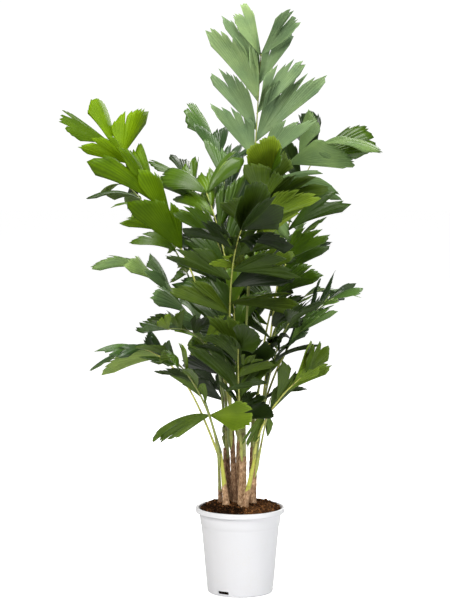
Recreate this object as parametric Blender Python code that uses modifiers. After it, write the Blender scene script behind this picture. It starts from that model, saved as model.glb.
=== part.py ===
"""Potted clustering fishtail palm, in metres with +Z up.

The origin is under the middle of the pot's flat underside. Seen from the front, +X is to the right and
+Y is away. The clump is ten canes in a nursery pot, and each frond is one node: a rib that leaves its
cane, bends over by a rule, and carries pairs of wedge-shaped leaflets. Every length, angle and share of
a frond is a field of its Frond, and the small differences between leaflets come from the frond's seed.
"""

import math
import random
from dataclasses import dataclass

import bmesh
import bpy
from mathutils import Quaternion, Vector
from mathutils.bvhtree import BVHTree

GAP = 0.0003
MERGE = 0.00002
SLIVER = 0.000002
FLAT_ANGLES = (5.0, 2.0, 0.6, 0.1)
UP = Vector((0.0, 0.0, 1.0))

# Pot: a white nursery pot with a rolled rim, a step ring below it and three drain slots at its foot
POT_HEIGHT = 0.259
RIM_RADIUS = 0.1345
RIM_DROP = 0.015
RIM_ROLL = 0.003
RIM_INNER = 0.1259
LIP_BEVEL = 0.002
WALL = 0.0026
WALL_TOP_RADIUS = 0.1235
STEP_TOP = 0.209
STEP_DROP = 0.006
STEP_IN = 0.0022
BASE_RADIUS = 0.0995
BASE_ROUND = 0.006
FLOOR = 0.004
POT_STEPS = 36
SLOT_COUNT = 3
SLOT_FIRST = 239.0
SLOT_WIDTH = 0.036
SLOT_HEIGHT = 0.009
SLOT_Z = 0.0125
SLOT_DEPTH = 0.02
ROUND_STEPS = 3

# Soil: fills the pot and is heaped to a flat top, where the canes stand
WALL_GAP = 0.0004
SOIL_TOP = 0.268
SOIL_EDGE = 0.252
SOIL_FLAT_RADIUS = 0.094

# Canes: rings up a cane as shares of its height, and how far its foot flares
CANE_RINGS = (0.0, 0.04, 0.14, 0.4, 0.7, 1.0)
CANE_FLARE = (1.2, 1.14, 1.0, 1.0, 1.0, 1.0)
CANE_ROUNDNESS = 2

# Fronds
RIB_STEPS = 24
RIB_STRIDE = 3
RIB_FOOT = 0.0042
RIB_TIP = 0.0016
RIB_ROUNDNESS = 0
LEAF_THICKNESS = 0.0105
LEAF_THINNEST = 0.0017
LEAF_NECK = 0.0014
LEAF_SINK = 0.0006
LEAF_STAGGER = 0.4
# How far one leaflet may differ from its frond's rule, in degrees or as a share
SPREAD_PLAY = 14
LIFT_PLAY = 19
TWIST_PLAY = 32
SIZE_PLAY = (0.82, 1.08)
FAN_PLAY = (0.85, 1.15)
DROOP_PLAY = (0.3, 2.0)
LEAF_ROWS = 1
LEAF_ROOT = 0.2
# Each ray of a leaflet: its place from the low edge (-1) to the high edge (1), and its share of the length
SIDE_RAYS = ((-1.0, 0.76), (-0.84, 1.0), (0.1, 0.74), (1.0, 0.52))
END_RAYS = ((-1.0, 0.62), (-0.5, 0.98), (0.6, 1.0), (1.0, 0.78))
# What a leaflet that would touch another frond tries before it is left out: its size and its turn in degrees
SECOND_TRIES = ((1.0, 0.0), (1.0, 9.0), (1.0, -9.0), (0.9, 16.0), (0.9, -16.0), (0.75, 0.0), (0.75, 24.0),
                (0.75, -24.0), (0.55, 0.0), (0.4, 0.0))


@dataclass(frozen=True)
class Cane:
    """A cane: where it stands on the soil, its height, how far its tip leans, and its two radii."""

    name: str
    foot: tuple
    height: float
    lean: tuple
    thick: tuple

    def point(self, share):
        return Vector((self.foot[0] + self.lean[0] * share, self.foot[1] + self.lean[1] * share,
                       SOIL_TOP + GAP + self.height * share))

    def radius(self, share):
        return self.thick[0] + (self.thick[1] - self.thick[0]) * share


@dataclass(frozen=True)
class Frond:
    """A frond: how its rib grows from its cane, and how its leaflets stand on the rib.

    leaves is the share of the cane's height at which the rib starts, bearing its direction in plan
    (0 is right, 90 is away), rise its first angle above level, arch how far it bends over, length its
    own, late how much of the bend comes towards the tip and sway how far the bearing turns. bare is the
    share of the rib below its first leaflets and pairs their number. reach is the longest leaflet,
    shrink the last pair's share of it, spread the angle between leaflet and rib at both ends, fan half
    the angle of a leaflet, roll and lift how the blade turns about the rib and rises from its plane,
    and droop how far a leaflet bends down. All angles are in degrees.
    """

    name: str
    cane: str
    leaves: float
    bearing: float
    rise: float
    arch: float
    length: float
    tone: str
    seed: int
    late: float = 1.8
    sway: float = 0.0
    bare: float = 0.5
    pairs: int = 5
    reach: float = 0.24
    shrink: float = 0.72
    spread: tuple = (58.0, 24.0)
    fan: float = 22.0
    roll: float = 0.0
    lift: float = 15.0
    droop: float = 20.0


@dataclass(frozen=True)
class Leaflet:
    """One leaflet: its root, its own directions, its length, half angle and bend, and its rays."""

    root: Vector
    along: Vector
    face: Vector
    across: Vector
    length: float
    fan: float
    droop: float
    rays: tuple


CANES = (
    Cane("cane_main", foot=(0.006, -0.034), height=0.326, lean=(0.004, 0.004), thick=(0.0140, 0.0066)),
    Cane("cane_front_right", foot=(0.013, -0.068), height=0.146, lean=(0.029, -0.002), thick=(0.0105, 0.0058)),
    Cane("cane_front_left", foot=(-0.042, -0.034), height=0.159, lean=(-0.017, -0.004), thick=(0.0105, 0.0055)),
    Cane("cane_mid_left", foot=(-0.017, 0.000), height=0.281, lean=(-0.010, 0.004), thick=(0.0100, 0.0058)),
    Cane("cane_left", foot=(-0.060, 0.004), height=0.146, lean=(-0.006, 0.004), thick=(0.0065, 0.0045)),
    Cane("cane_right", foot=(0.037, -0.012), height=0.206, lean=(0.008, -0.002), thick=(0.0115, 0.0065)),
    Cane("cane_right_back", foot=(0.034, 0.030), height=0.271, lean=(0.006, 0.006), thick=(0.0105, 0.0065)),
    Cane("cane_back", foot=(-0.004, 0.046), height=0.301, lean=(0.002, 0.010), thick=(0.0110, 0.0062)),
    Cane("cane_back_left", foot=(-0.034, 0.042), height=0.221, lean=(-0.008, 0.008), thick=(0.0100, 0.0060)),
    Cane("cane_broken", foot=(-0.045, 0.022), height=0.166, lean=(-0.002, 0.002), thick=(0.0070, 0.0050)),
)

FRONDS = (
    Frond("frond_top", "cane_main", leaves=1, bearing=-61, rise=86, arch=0, length=1.02,
          tone="pale", seed=22, late=1.29, sway=30, bare=0.67, reach=0.29, shrink=0.57, spread=(25, 29),
          fan=19, roll=-66, lift=11, droop=0),
    Frond("frond_bright", "cane_mid_left", leaves=1, bearing=172, rise=78, arch=32, length=0.89,
          tone="lime", seed=342, late=1.55, sway=-3, bare=0.57, pairs=6, reach=0.28, shrink=0.62,
          spread=(27, 47), fan=28, roll=-36, lift=52, droop=4),
    Frond("frond_grey", "cane_back_left", leaves=1, bearing=185, rise=95, arch=62, length=0.62,
          tone="pale", seed=673, late=0.79, sway=-8, pairs=6, reach=0.215, shrink=0.64, spread=(59, 8),
          fan=24, lift=22),
    Frond("frond_low_left", "cane_left", leaves=1, bearing=199, rise=68, arch=56, length=0.44,
          tone="pale", seed=989, late=2.6, sway=10, bare=0.72, reach=0.215, shrink=0.78, spread=(38, 9),
          fan=20, roll=17, lift=6, droop=26),
    Frond("frond_low_left_front", "cane_front_left", leaves=0.95, bearing=233, rise=81, arch=53, length=0.45,
          tone="mid", seed=239, late=0.8, sway=5, bare=0.4, reach=0.16, shrink=1, spread=(32, 21), fan=18,
          roll=-8, lift=21),
    Frond("frond_right_low", "cane_front_right", leaves=1, bearing=-18, rise=95, arch=58, length=0.32,
          tone="mid", seed=683, late=0.6, sway=-3, bare=0.49, pairs=3, reach=0.18, shrink=0.74,
          spread=(25, 21), fan=21, roll=-28, lift=44, droop=2),
    Frond("frond_right_mid", "cane_right", leaves=1, bearing=-25, rise=74, arch=39, length=0.49,
          tone="pale", seed=748, late=1.88, sway=1, bare=0.55, pairs=8, reach=0.18, shrink=0.71,
          spread=(29, 28), fan=13, roll=32, lift=13, droop=14),
    Frond("frond_right_high", "cane_right", leaves=0.93, bearing=32, rise=82, arch=37, length=0.89,
          tone="mid", seed=879, late=3.8, sway=17, bare=0.35, pairs=7, reach=0.215, shrink=1,
          spread=(59, 40), fan=21, roll=15, lift=25, droop=14),
    Frond("frond_right_arc", "cane_right_back", leaves=1, bearing=6, rise=78, arch=100, length=0.51,
          tone="pale", seed=638, late=2.95, sway=-3, bare=0.43, reach=0.14, shrink=0.5, spread=(25, 10),
          fan=23, roll=-4, lift=-15, droop=14),
    Frond("frond_second", "cane_back", leaves=1, bearing=33, rise=92, arch=76, length=0.88,
          tone="pale", seed=701, late=2.7, sway=-27, bare=0.66, reach=0.215, shrink=0.89, spread=(73, 15),
          roll=42, lift=0, droop=42),
    Frond("frond_dark_left", "cane_main", leaves=0.9, bearing=133, rise=86, arch=25, length=0.66,
          tone="mid", seed=728, sway=2, bare=0.31, pairs=7, reach=0.215, shrink=0.81, spread=(33, 36),
          fan=21, roll=-42, lift=50, droop=39),
    Frond("frond_mid_left", "cane_mid_left", leaves=0.7, bearing=214, rise=85, arch=94, length=0.47,
          tone="mid", seed=29, late=2.2, sway=7, bare=0.36, pairs=7, reach=0.19, shrink=0.66,
          spread=(85, 48), fan=21, roll=3, lift=34, droop=6),
    Frond("frond_front", "cane_main", leaves=0.5, bearing=253, rise=81, arch=31, length=0.35,
          tone="dark", seed=974, sway=19, bare=0.3, pairs=8, reach=0.19, shrink=0.82, spread=(49, 21),
          fan=24, roll=-32, lift=50, droop=37),
    Frond("frond_front_right", "cane_right", leaves=0.76, bearing=298, rise=76, arch=32, length=0.46,
          tone="dark", seed=713, sway=-1, bare=0.38, pairs=8, reach=0.2, shrink=0.75, spread=(80, 38),
          fan=14, roll=24, lift=30, droop=32),
    Frond("frond_front_high", "cane_main", leaves=0.92, bearing=279, rise=86, arch=24, length=0.7,
          tone="mid", seed=672, sway=33, bare=0.56, pairs=8, reach=0.215, shrink=0.87, spread=(42, 32),
          fan=24, lift=-15, droop=17),
    Frond("frond_front_left", "cane_mid_left", leaves=0.73, bearing=256, rise=85, arch=48, length=0.71,
          tone="dark", seed=373, sway=30, bare=0.43, pairs=8, reach=0.215, shrink=1, spread=(85, 8),
          fan=24, roll=-21, lift=13, droop=2),
    Frond("frond_low_leaf", "cane_front_left", leaves=1, bearing=198, rise=74, arch=2, length=0.17,
          tone="lime", seed=549, late=1.9, sway=3, bare=0.71, pairs=1, reach=0.21, shrink=0.89,
          spread=(92, 56), fan=24, roll=45, lift=16, droop=60),
    Frond("frond_low_right", "cane_front_right", leaves=0.86, bearing=0, rise=79, arch=0, length=0.21,
          tone="mid", seed=855, late=1, bare=0.86, pairs=1, reach=0.16, shrink=1, spread=(155, 155),
          fan=15, roll=-45, lift=45, droop=12),
    Frond("frond_back", "cane_back", leaves=0.95, bearing=100, rise=88, arch=37, length=0.83,
          tone="pale", seed=396, sway=14, bare=0.51, pairs=7, reach=0.2, shrink=0.74, spread=(25, 33),
          roll=6, lift=50, droop=0),
    Frond("frond_back_left", "cane_back_left", leaves=0.95, bearing=93, rise=90, arch=34, length=0.62,
          tone="dark", seed=802, sway=-9, bare=0.39, pairs=6, reach=0.215, shrink=0.86, spread=(48, 17),
          fan=24, roll=-2, lift=16, droop=44),
    Frond("frond_back_right", "cane_right_back", leaves=0.75, bearing=37, rise=87, arch=52, length=0.66,
          tone="mid", seed=391, sway=24, bare=0.51, pairs=6, reach=0.21, shrink=0.52, spread=(69, 24),
          fan=18, roll=-18, lift=36, droop=29),
    Frond("frond_back_high", "cane_back", leaves=0.74, bearing=142, rise=92, arch=49, length=0.8,
          tone="mid", seed=608, sway=-3, bare=0.3, pairs=7, reach=0.21, shrink=0.77, spread=(58, 20),
          fan=17, roll=-18, lift=19, droop=17),
    Frond("frond_back_low", "cane_back_left", leaves=0.54, bearing=100, rise=72, arch=59, length=0.42,
          tone="dark", seed=618, sway=5, bare=0.46, pairs=8, reach=0.2, shrink=0.67, spread=(51, 20),
          fan=24, roll=-49, lift=40, droop=55),
    Frond("frond_left_high", "cane_back_left", leaves=0.88, bearing=150, rise=93, arch=75, length=0.96,
          tone="mid", seed=236, late=1, sway=-36, bare=0.54, pairs=6, reach=0.2, shrink=0.7,
          spread=(74, 27), fan=21, roll=16, lift=24, droop=65),
)

LEAF_COLOURS = {
    "lime": (0.27, 0.42, 0.06),
    "pale": (0.25, 0.36, 0.20),
    "mid": (0.09, 0.19, 0.05),
    "dark": (0.03, 0.08, 0.02),
    "blue": (0.10, 0.19, 0.15),
}


def remove_all_objects():
    for item in list(bpy.data.objects):
        bpy.data.objects.remove(item, do_unlink=True)


def new_collection(name):
    group = bpy.data.collections.new(name)
    bpy.context.scene.collection.children.link(group)
    return group


def new_material(name, colour, roughness):
    material = bpy.data.materials.new(name)
    material.use_nodes = True
    shader = material.node_tree.nodes["Principled BSDF"]
    shader.inputs["Base Color"].default_value = (*colour, 1.0)
    shader.inputs["Roughness"].default_value = roughness
    shader.inputs["Metallic"].default_value = 0.0
    return material


def new_object(name, mesh, group, material=None):
    item = bpy.data.objects.new(name, mesh)
    group.objects.link(item)
    if material is not None:
        mesh.materials.clear()
        mesh.materials.append(material)
    return item


def turned_object(name, profile, steps, group, material):
    """A closed turned solid: profile is (radius, height) from the axis, down the outer side, to the axis."""
    mesh = bpy.data.meshes.new(name)
    edges = [(i, i + 1) for i in range(len(profile) - 1)]
    mesh.from_pydata([(r, 0.0, z) for r, z in profile], edges, [])
    item = new_object(name, mesh, group, material)
    screw = item.modifiers.new("turn", "SCREW")
    screw.steps = steps
    screw.render_steps = steps
    screw.use_merge_vertices = True
    screw.merge_threshold = MERGE
    screw.use_smooth_shade = True
    return item


def wall_radius(z):
    """The pot's outer radius at a height below the rim, without the step."""
    return BASE_RADIUS + (WALL_TOP_RADIUS - BASE_RADIUS) * z / (POT_HEIGHT - RIM_DROP)


def arc(centre, radius, first, last, count):
    """Points of a circle in the profile's plane, from one angle in degrees to another."""
    angles = [math.radians(first + (last - first) * k / count) for k in range(count + 1)]
    return [(centre[0] + radius * math.cos(a), centre[1] + radius * math.sin(a)) for a in angles]


def inner_radius(z):
    """The pot's inner radius: straight from the floor to the step, and from there to the rim."""
    foot = wall_radius(FLOOR) - WALL - FLOOR
    step = wall_radius(STEP_TOP) - WALL - STEP_IN
    if z < STEP_TOP:
        return foot + (step - foot) * (z - FLOOR) / (STEP_TOP - FLOOR)
    return step + (RIM_INNER - step) * (z - STEP_TOP) / (POT_HEIGHT - RIM_ROLL - STEP_TOP)


def pot_profile():
    roll = arc((RIM_RADIUS - RIM_ROLL, POT_HEIGHT - RIM_ROLL), RIM_ROLL, 90, 0, ROUND_STEPS)
    lip_foot = POT_HEIGHT - RIM_DROP
    step_low = STEP_TOP - STEP_DROP
    base = arc((BASE_RADIUS - BASE_ROUND, BASE_ROUND), BASE_ROUND, 0, -90, ROUND_STEPS)
    return [
        (0.0, FLOOR),
        (inner_radius(FLOOR), FLOOR),
        (inner_radius(STEP_TOP), STEP_TOP),
        (RIM_INNER, POT_HEIGHT - RIM_ROLL),
        (RIM_INNER + RIM_ROLL, POT_HEIGHT),
        *roll,
        (RIM_RADIUS, lip_foot + LIP_BEVEL),
        (RIM_RADIUS - LIP_BEVEL, lip_foot),
        (wall_radius(lip_foot), lip_foot),
        (wall_radius(STEP_TOP), STEP_TOP),
        (wall_radius(step_low) - STEP_IN, step_low),
        *base,
        (0.0, 0.0),
    ]


def make_pot(group, cutters, material):
    pot = turned_object("pot", pot_profile(), POT_STEPS, group, material)
    for k in range(SLOT_COUNT):
        angle = math.radians(SLOT_FIRST + 360 * k / SLOT_COUNT)
        mesh = bpy.data.meshes.new(f"slot_cutter_{k + 1}")
        shape = bmesh.new()
        bmesh.ops.create_cube(shape, size=1.0)
        bmesh.ops.scale(shape, vec=(SLOT_DEPTH, SLOT_WIDTH, SLOT_HEIGHT), verts=shape.verts)
        shape.to_mesh(mesh)
        shape.free()
        cutter = new_object(mesh.name, mesh, cutters)
        radius = wall_radius(SLOT_Z) - WALL / 2
        cutter.location = (radius * math.cos(angle), radius * math.sin(angle), SLOT_Z)
        cutter.rotation_euler = (0.0, 0.0, angle)
        cutter.hide_render = True
        cutter.display_type = "WIRE"
        cut = pot.modifiers.new(f"slot_{k + 1}", "BOOLEAN")
        cut.operation = "DIFFERENCE"
        cut.object = cutter


def make_soil(group, material):
    """The soil fills the pot, just clear of its inner wall, and is heaped inside the rim."""
    edge = inner_radius(SOIL_EDGE) - WALL_GAP
    profile = [
        (0.0, SOIL_TOP),
        (SOIL_FLAT_RADIUS, SOIL_TOP),
        (edge, SOIL_EDGE),
        (inner_radius(STEP_TOP) - WALL_GAP, STEP_TOP),
        (inner_radius(FLOOR) - WALL_GAP, FLOOR + GAP),
        (0.0, FLOOR + GAP),
    ]
    turned_object("soil", profile, POT_STEPS, group, material)


def tube_mesh(name, points, radii, resolution):
    """A closed mesh tube through points, with a radius at each, from a bevelled curve."""
    curve = bpy.data.curves.new(name, "CURVE")
    curve.dimensions = "3D"
    curve.bevel_depth = 1.0
    curve.bevel_resolution = resolution
    curve.use_fill_caps = True
    spline = curve.splines.new("POLY")
    spline.points.add(len(points) - 1)
    for place, point, radius in zip(spline.points, points, radii):
        place.co = (*point, 1.0)
        place.radius = radius
    item = bpy.data.objects.new(name, curve)
    bpy.context.scene.collection.objects.link(item)
    graph = bpy.context.evaluated_depsgraph_get()
    mesh = bpy.data.meshes.new_from_object(item.evaluated_get(graph))
    bpy.data.objects.remove(item, do_unlink=True)
    bpy.data.curves.remove(curve)
    shape = bmesh.new()
    shape.from_mesh(mesh)
    bmesh.ops.remove_doubles(shape, verts=shape.verts, dist=MERGE)
    bmesh.ops.triangulate(shape, faces=shape.faces)
    bmesh.ops.recalc_face_normals(shape, faces=shape.faces)
    shape.to_mesh(mesh)
    shape.free()
    mesh.name = name
    return mesh


def make_cane(cane, group, material):
    """A cane with a flat foot, a root flare and its own taper and lean."""
    points = [cane.point(share) for share in CANE_RINGS]
    points[1].x = points[0].x
    points[1].y = points[0].y
    radii = [cane.radius(share) * flare for share, flare in zip(CANE_RINGS, CANE_FLARE)]
    mesh = tube_mesh(cane.name, points, radii, CANE_ROUNDNESS)
    return new_object(cane.name, mesh, group, material)


def rib_course(frond, cane):
    """The rib's points from foot to tip, and its direction along each step between them."""
    bearing = math.radians(frond.bearing)
    point = cane.point(frond.leaves)
    if frond.leaves < 1:
        side = Vector((math.cos(bearing), math.sin(bearing), 0.0))
        point += side * (cane.radius(frond.leaves) + RIB_FOOT + GAP)
    else:
        point += UP * (GAP + RIB_FOOT * abs(math.cos(math.radians(frond.rise))))
    points = [point]
    ways = []
    for k in range(RIB_STEPS):
        share = (k + 0.5) / RIB_STEPS
        pitch = math.radians(frond.rise - frond.arch * share ** frond.late)
        turn = bearing + math.radians(frond.sway) * share
        level = math.cos(pitch)
        way = Vector((level * math.cos(turn), level * math.sin(turn), math.sin(pitch)))
        point = point + way * (frond.length / RIB_STEPS)
        points.append(point)
        ways.append(way)
    return points, ways


def leaflet_at(frond, points, ways, draw, pair, side):
    """The leaflet of one side of a pair, on its place along the rib."""
    share = pair / max(frond.pairs - 1, 1)
    last = pair == frond.pairs - 1
    place = frond.bare + share * (1 - frond.bare)
    if not last and side > 0:
        place += (1 - frond.bare) / max(frond.pairs - 1, 1) * LEAF_STAGGER
    step = min(place * RIB_STEPS, RIB_STEPS - 0.000001)
    low = int(step)
    root = points[low].lerp(points[low + 1], step - low)
    way = ways[low]
    level = way.cross(UP).normalized()
    normal = Quaternion(way, math.radians(frond.roll)) @ level.cross(way)
    out = way.cross(normal) * side
    spread = frond.spread[0] + (frond.spread[1] - frond.spread[0]) * share
    spread = math.radians(spread + draw.uniform(-SPREAD_PLAY, SPREAD_PLAY))
    lift = math.radians(frond.lift * (1 - 0.5 * share) + draw.uniform(-LIFT_PLAY, LIFT_PLAY))
    sideways = out * math.cos(lift) + normal * math.sin(lift)
    along = (way * math.cos(spread) + sideways * math.sin(spread)).normalized()
    face = (normal - along * normal.dot(along)).normalized()
    face = Quaternion(along, math.radians(draw.uniform(-TWIST_PLAY, TWIST_PLAY))) @ face
    across = face.cross(along)
    if across.dot(way) < 0:
        across = -across
    size = (1 - (1 - frond.shrink) * share ** 1.6) * (0.82 + 0.18 * min(1, share * 4))
    length = frond.reach * size * draw.uniform(*SIZE_PLAY)
    fan = math.radians(frond.fan * draw.uniform(*FAN_PLAY))
    droop = math.radians(frond.droop * draw.uniform(*DROOP_PLAY))
    return Leaflet(root, along, face, across, length, fan, droop, END_RAYS if last else SIDE_RAYS)


def leaflets_of(frond, points, ways):
    """A frond's leaflets, pair by pair from the lowest, each with its own draws from the frond's seed."""
    draw = random.Random(frond.seed)
    places = [(pair, side) for pair in range(frond.pairs) for side in (-1, 1)]
    return [leaflet_at(frond, points, ways, draw, pair, side) for pair, side in places]


def blade_shape(leaf, size, turn, start=0.0):
    """A closed bmesh plate of a leaflet: a grid laid on its rays from start outwards, and thickened."""
    turning = Quaternion(leaf.face, math.radians(turn))
    along = turning @ leaf.along
    across = turning @ leaf.across
    length = leaf.length * size
    bend = max(leaf.droop, 0.01) / length
    shape = bmesh.new()
    bmesh.ops.create_grid(shape, x_segments=len(leaf.rays) - 1, y_segments=LEAF_ROWS, size=1.0)
    for vert in shape.verts:
        at, reach = leaf.rays[round((vert.co.x + 1) / 2 * (len(leaf.rays) - 1))]
        row = start + (1 - start) * (vert.co.y + 1) / 2
        run = reach * length * row
        way = along * math.cos(at * leaf.fan) + across * math.sin(at * leaf.fan)
        out = way * (math.sin(bend * run) / bend)
        fall = leaf.face * ((1 - math.cos(bend * run)) / bend)
        vert.co = leaf.root - along * LEAF_SINK + across * (at * LEAF_NECK * (1 - row)) + out - fall
    bmesh.ops.triangulate(shape, faces=shape.faces)
    thickness = max(LEAF_THINNEST, length * LEAF_THICKNESS)
    bmesh.ops.solidify(shape, geom=shape.faces[:], thickness=thickness)
    bmesh.ops.triangulate(shape, faces=shape.faces)
    bmesh.ops.recalc_face_normals(shape, faces=shape.faces)
    return shape


def touches(shape, others):
    tree = BVHTree.FromBMesh(shape, epsilon=GAP)
    return any(tree.overlap(other) for other in others)


def free_blade(leaf, others, sisters):
    """The leaflet's plate, made smaller or turned until it is free, or None where no try is.

    It touches none of the others, and past its root none of the leaflets of its own frond.
    """
    for size, turn in SECOND_TRIES:
        shape = blade_shape(leaf, size, turn)
        outer = blade_shape(leaf, size, turn, start=LEAF_ROOT)
        held = touches(shape, others) or touches(outer, sisters)
        outer.free()
        if not held:
            sisters.append(BVHTree.FromBMesh(shape, epsilon=GAP))
            return shape
        shape.free()
    return None


def is_closed(shape):
    return all(edge.is_manifold for edge in shape.edges) and all(vert.is_manifold for vert in shape.verts)


def main_body(shape):
    """Leaves the largest connected body: sealed hollows and loose scraps go."""
    left = set(shape.verts)
    bodies = []
    while left:
        body = {left.pop()}
        edge = list(body)
        while edge:
            vert = edge.pop()
            for link in vert.link_edges:
                other = link.other_vert(vert)
                if other in left:
                    left.discard(other)
                    body.add(other)
                    edge.append(other)
        bodies.append(body)
    bodies.sort(key=len)
    for body in bodies[:-1]:
        bmesh.ops.delete(shape, geom=list(body), context="VERTS")


def tidied(mesh):
    """The union's flat slivers joined by the widest angle that keeps it closed, or None where none does."""
    for angle in FLAT_ANGLES:
        shape = bmesh.new()
        shape.from_mesh(mesh)
        bmesh.ops.remove_doubles(shape, verts=shape.verts, dist=SLIVER)
        bmesh.ops.dissolve_limit(shape, angle_limit=math.radians(angle), verts=shape.verts, edges=shape.edges)
        bmesh.ops.triangulate(shape, faces=shape.faces)
        main_body(shape)
        if is_closed(shape):
            return shape
        shape.free()
    return None


def united(item, leaves, solver):
    """The evaluated mesh of an object united with a collection's objects."""
    union = item.modifiers.new("leaflets", "BOOLEAN")
    union.operation = "UNION"
    union.operand_type = "COLLECTION"
    union.collection = leaves
    union.solver = solver
    graph = bpy.context.evaluated_depsgraph_get()
    mesh = bpy.data.meshes.new_from_object(item.evaluated_get(graph))
    item.modifiers.remove(union)
    return mesh


def fuse(item, shapes):
    """Unites the leaflets' plates with a rib. Where both solvers leave it open, the last leaflet goes."""
    leaves = new_collection(f"{item.name}_leaflets")
    for k, shape in enumerate(shapes):
        mesh = bpy.data.meshes.new(f"{item.name}_leaflet_{k + 1}")
        shape.to_mesh(mesh)
        new_object(mesh.name, mesh, leaves)
    fused = None
    mesh = item.data
    while fused is None and leaves.objects:
        for solver in ("EXACT", "MANIFOLD"):
            mesh = united(item, leaves, solver)
            fused = tidied(mesh)
            if fused is not None:
                break
        else:
            print(item.name, "drops a leaflet")
            bpy.data.objects.remove(leaves.objects[-1], do_unlink=True)
    item.data = mesh
    if fused is not None:
        fused.to_mesh(mesh)
        fused.free()
    for leaf in list(leaves.objects):
        bpy.data.objects.remove(leaf, do_unlink=True)
    bpy.data.collections.remove(leaves)


def mesh_tree(mesh):
    shape = bmesh.new()
    shape.from_mesh(mesh)
    tree = BVHTree.FromBMesh(shape, epsilon=GAP)
    shape.free()
    return tree


def make_fronds(cane_trees, group, materials):
    """All ribs first, then each frond's leaflets, which keep clear of every other frond and cane."""
    canes = {cane.name: cane for cane in CANES}
    courses = {frond.name: rib_course(frond, canes[frond.cane]) for frond in FRONDS}
    ribs = {}
    for frond in FRONDS:
        points = courses[frond.name][0][::RIB_STRIDE]
        radii = [RIB_FOOT + (RIB_TIP - RIB_FOOT) * k / (len(points) - 1) for k in range(len(points))]
        ribs[frond.name] = tube_mesh(frond.name, points, radii, RIB_ROUNDNESS)
    trees = {name: mesh_tree(mesh) for name, mesh in ribs.items()}
    for frond in FRONDS:
        others = cane_trees + [tree for name, tree in trees.items() if name != frond.name]
        leaves = leaflets_of(frond, *courses[frond.name])
        sisters = []
        shapes = [free_blade(leaf, others, sisters) for leaf in leaves]
        shapes = [shape for shape in shapes if shape is not None]
        item = new_object(frond.name, ribs[frond.name], group)
        fuse(item, shapes)
        for shape in shapes:
            shape.free()
        item.data.materials.clear()
        item.data.materials.append(materials[frond.tone])
        trees[frond.name] = mesh_tree(item.data)
        print(frond.name, "leaflets", len(shapes), "of", len(leaves), "triangles", len(item.data.polygons))


def main():
    remove_all_objects()
    group = new_collection("potted_clustering_fishtail_palm")
    cutters = new_collection("cutters")
    make_pot(group, cutters, new_material("white_pot_plastic", (0.84, 0.85, 0.87), 0.45))
    make_soil(group, new_material("dark_soil", (0.05, 0.03, 0.02), 0.95))
    bark = new_material("brown_cane", (0.28, 0.18, 0.11), 0.85)
    stands = [make_cane(cane, group, bark) for cane in CANES]
    leaf_materials = {tone: new_material(f"leaf_{tone}", colour, 0.45) for tone, colour in LEAF_COLOURS.items()}
    make_fronds([mesh_tree(stand.data) for stand in stands], group, leaf_materials)


main()
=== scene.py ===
"""Looks of the potted clustering fishtail palm, in metres with +Z up.

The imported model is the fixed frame: a plain pot, soil, ten canes and one coarse solid for each frond. Here
each of them is replaced by a finer piece on the same place. The fronds are grown again by the rule of the
solids, from the same sizes, and carried on to pleated leaflets with ragged ends. Every leaflet takes the
size and turn that its coarse plate has in the frame, so the crown keeps its main forms.
"""

import logging
import math
import random
from collections.abc import Callable, Sequence
from dataclasses import dataclass
from enum import Enum

import bpy
import numpy as np
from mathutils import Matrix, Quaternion, Vector
from mathutils.bvhtree import BVHTree


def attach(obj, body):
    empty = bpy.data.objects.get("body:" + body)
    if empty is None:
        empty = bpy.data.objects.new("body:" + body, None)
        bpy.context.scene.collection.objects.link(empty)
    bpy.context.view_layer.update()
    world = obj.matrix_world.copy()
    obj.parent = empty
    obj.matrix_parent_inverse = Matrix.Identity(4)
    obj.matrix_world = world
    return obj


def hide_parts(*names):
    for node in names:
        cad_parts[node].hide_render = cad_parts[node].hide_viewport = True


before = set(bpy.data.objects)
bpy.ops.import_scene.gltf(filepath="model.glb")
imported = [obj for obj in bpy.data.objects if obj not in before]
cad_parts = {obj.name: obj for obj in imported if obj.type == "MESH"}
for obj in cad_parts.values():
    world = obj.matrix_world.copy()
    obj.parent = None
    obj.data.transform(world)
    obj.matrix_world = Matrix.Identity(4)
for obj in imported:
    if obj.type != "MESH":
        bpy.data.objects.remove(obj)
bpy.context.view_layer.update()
LOG = logging.getLogger("fishtail_palm")

GAP = 0.0003
UP = Vector((0.0, 0.0, 1.0))
BODY = "root"
WELD = 0.000002
SEAM = 0.00001

# Random phases and turns go up to this, a little over one full turn
PHASE = 6.3

# The growth rule's own numbers
SOIL_TOP = 0.268
RIB_STEPS = 24
RIB_FOOT = 0.0042
RIB_TIP = 0.0016
LEAF_NECK = 0.0014
LEAF_SINK = 0.0006
LEAF_STAGGER = 0.4
LEAST_BEND = 0.01
LIFT_FADE = 0.5
SHRINK_POWER = 1.6
FIRST_SIZE = 0.82
FIRST_GAIN = 0.18
FIRST_ZONE = 4
LAST_STEP = RIB_STEPS - 0.000001
SPREAD_PLAY = 14
LIFT_PLAY = 19
TWIST_PLAY = 32
SIZE_PLAY = (0.82, 1.08)
FAN_PLAY = (0.85, 1.15)
DROOP_PLAY = (0.3, 2.0)
SIDE_RAYS = ((-1.0, 0.76), (-0.84, 1.0), (0.1, 0.74), (1.0, 0.52))
END_RAYS = ((-1.0, 0.62), (-0.5, 0.98), (0.6, 1.0), (1.0, 0.78))
SECOND_TRIES = ((1.0, 0.0), (1.0, 9.0), (1.0, -9.0), (0.9, 16.0), (0.9, -16.0), (0.75, 0.0), (0.75, 24.0),
                (0.75, -24.0), (0.55, 0.0), (0.4, 0.0))

Pair = tuple[float, float]
Colour = tuple[float, float, float]
Array = np.ndarray
Socket = bpy.types.NodeSocket
Material = bpy.types.Material
Placing = Callable[[Array, Array], Array]


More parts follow.
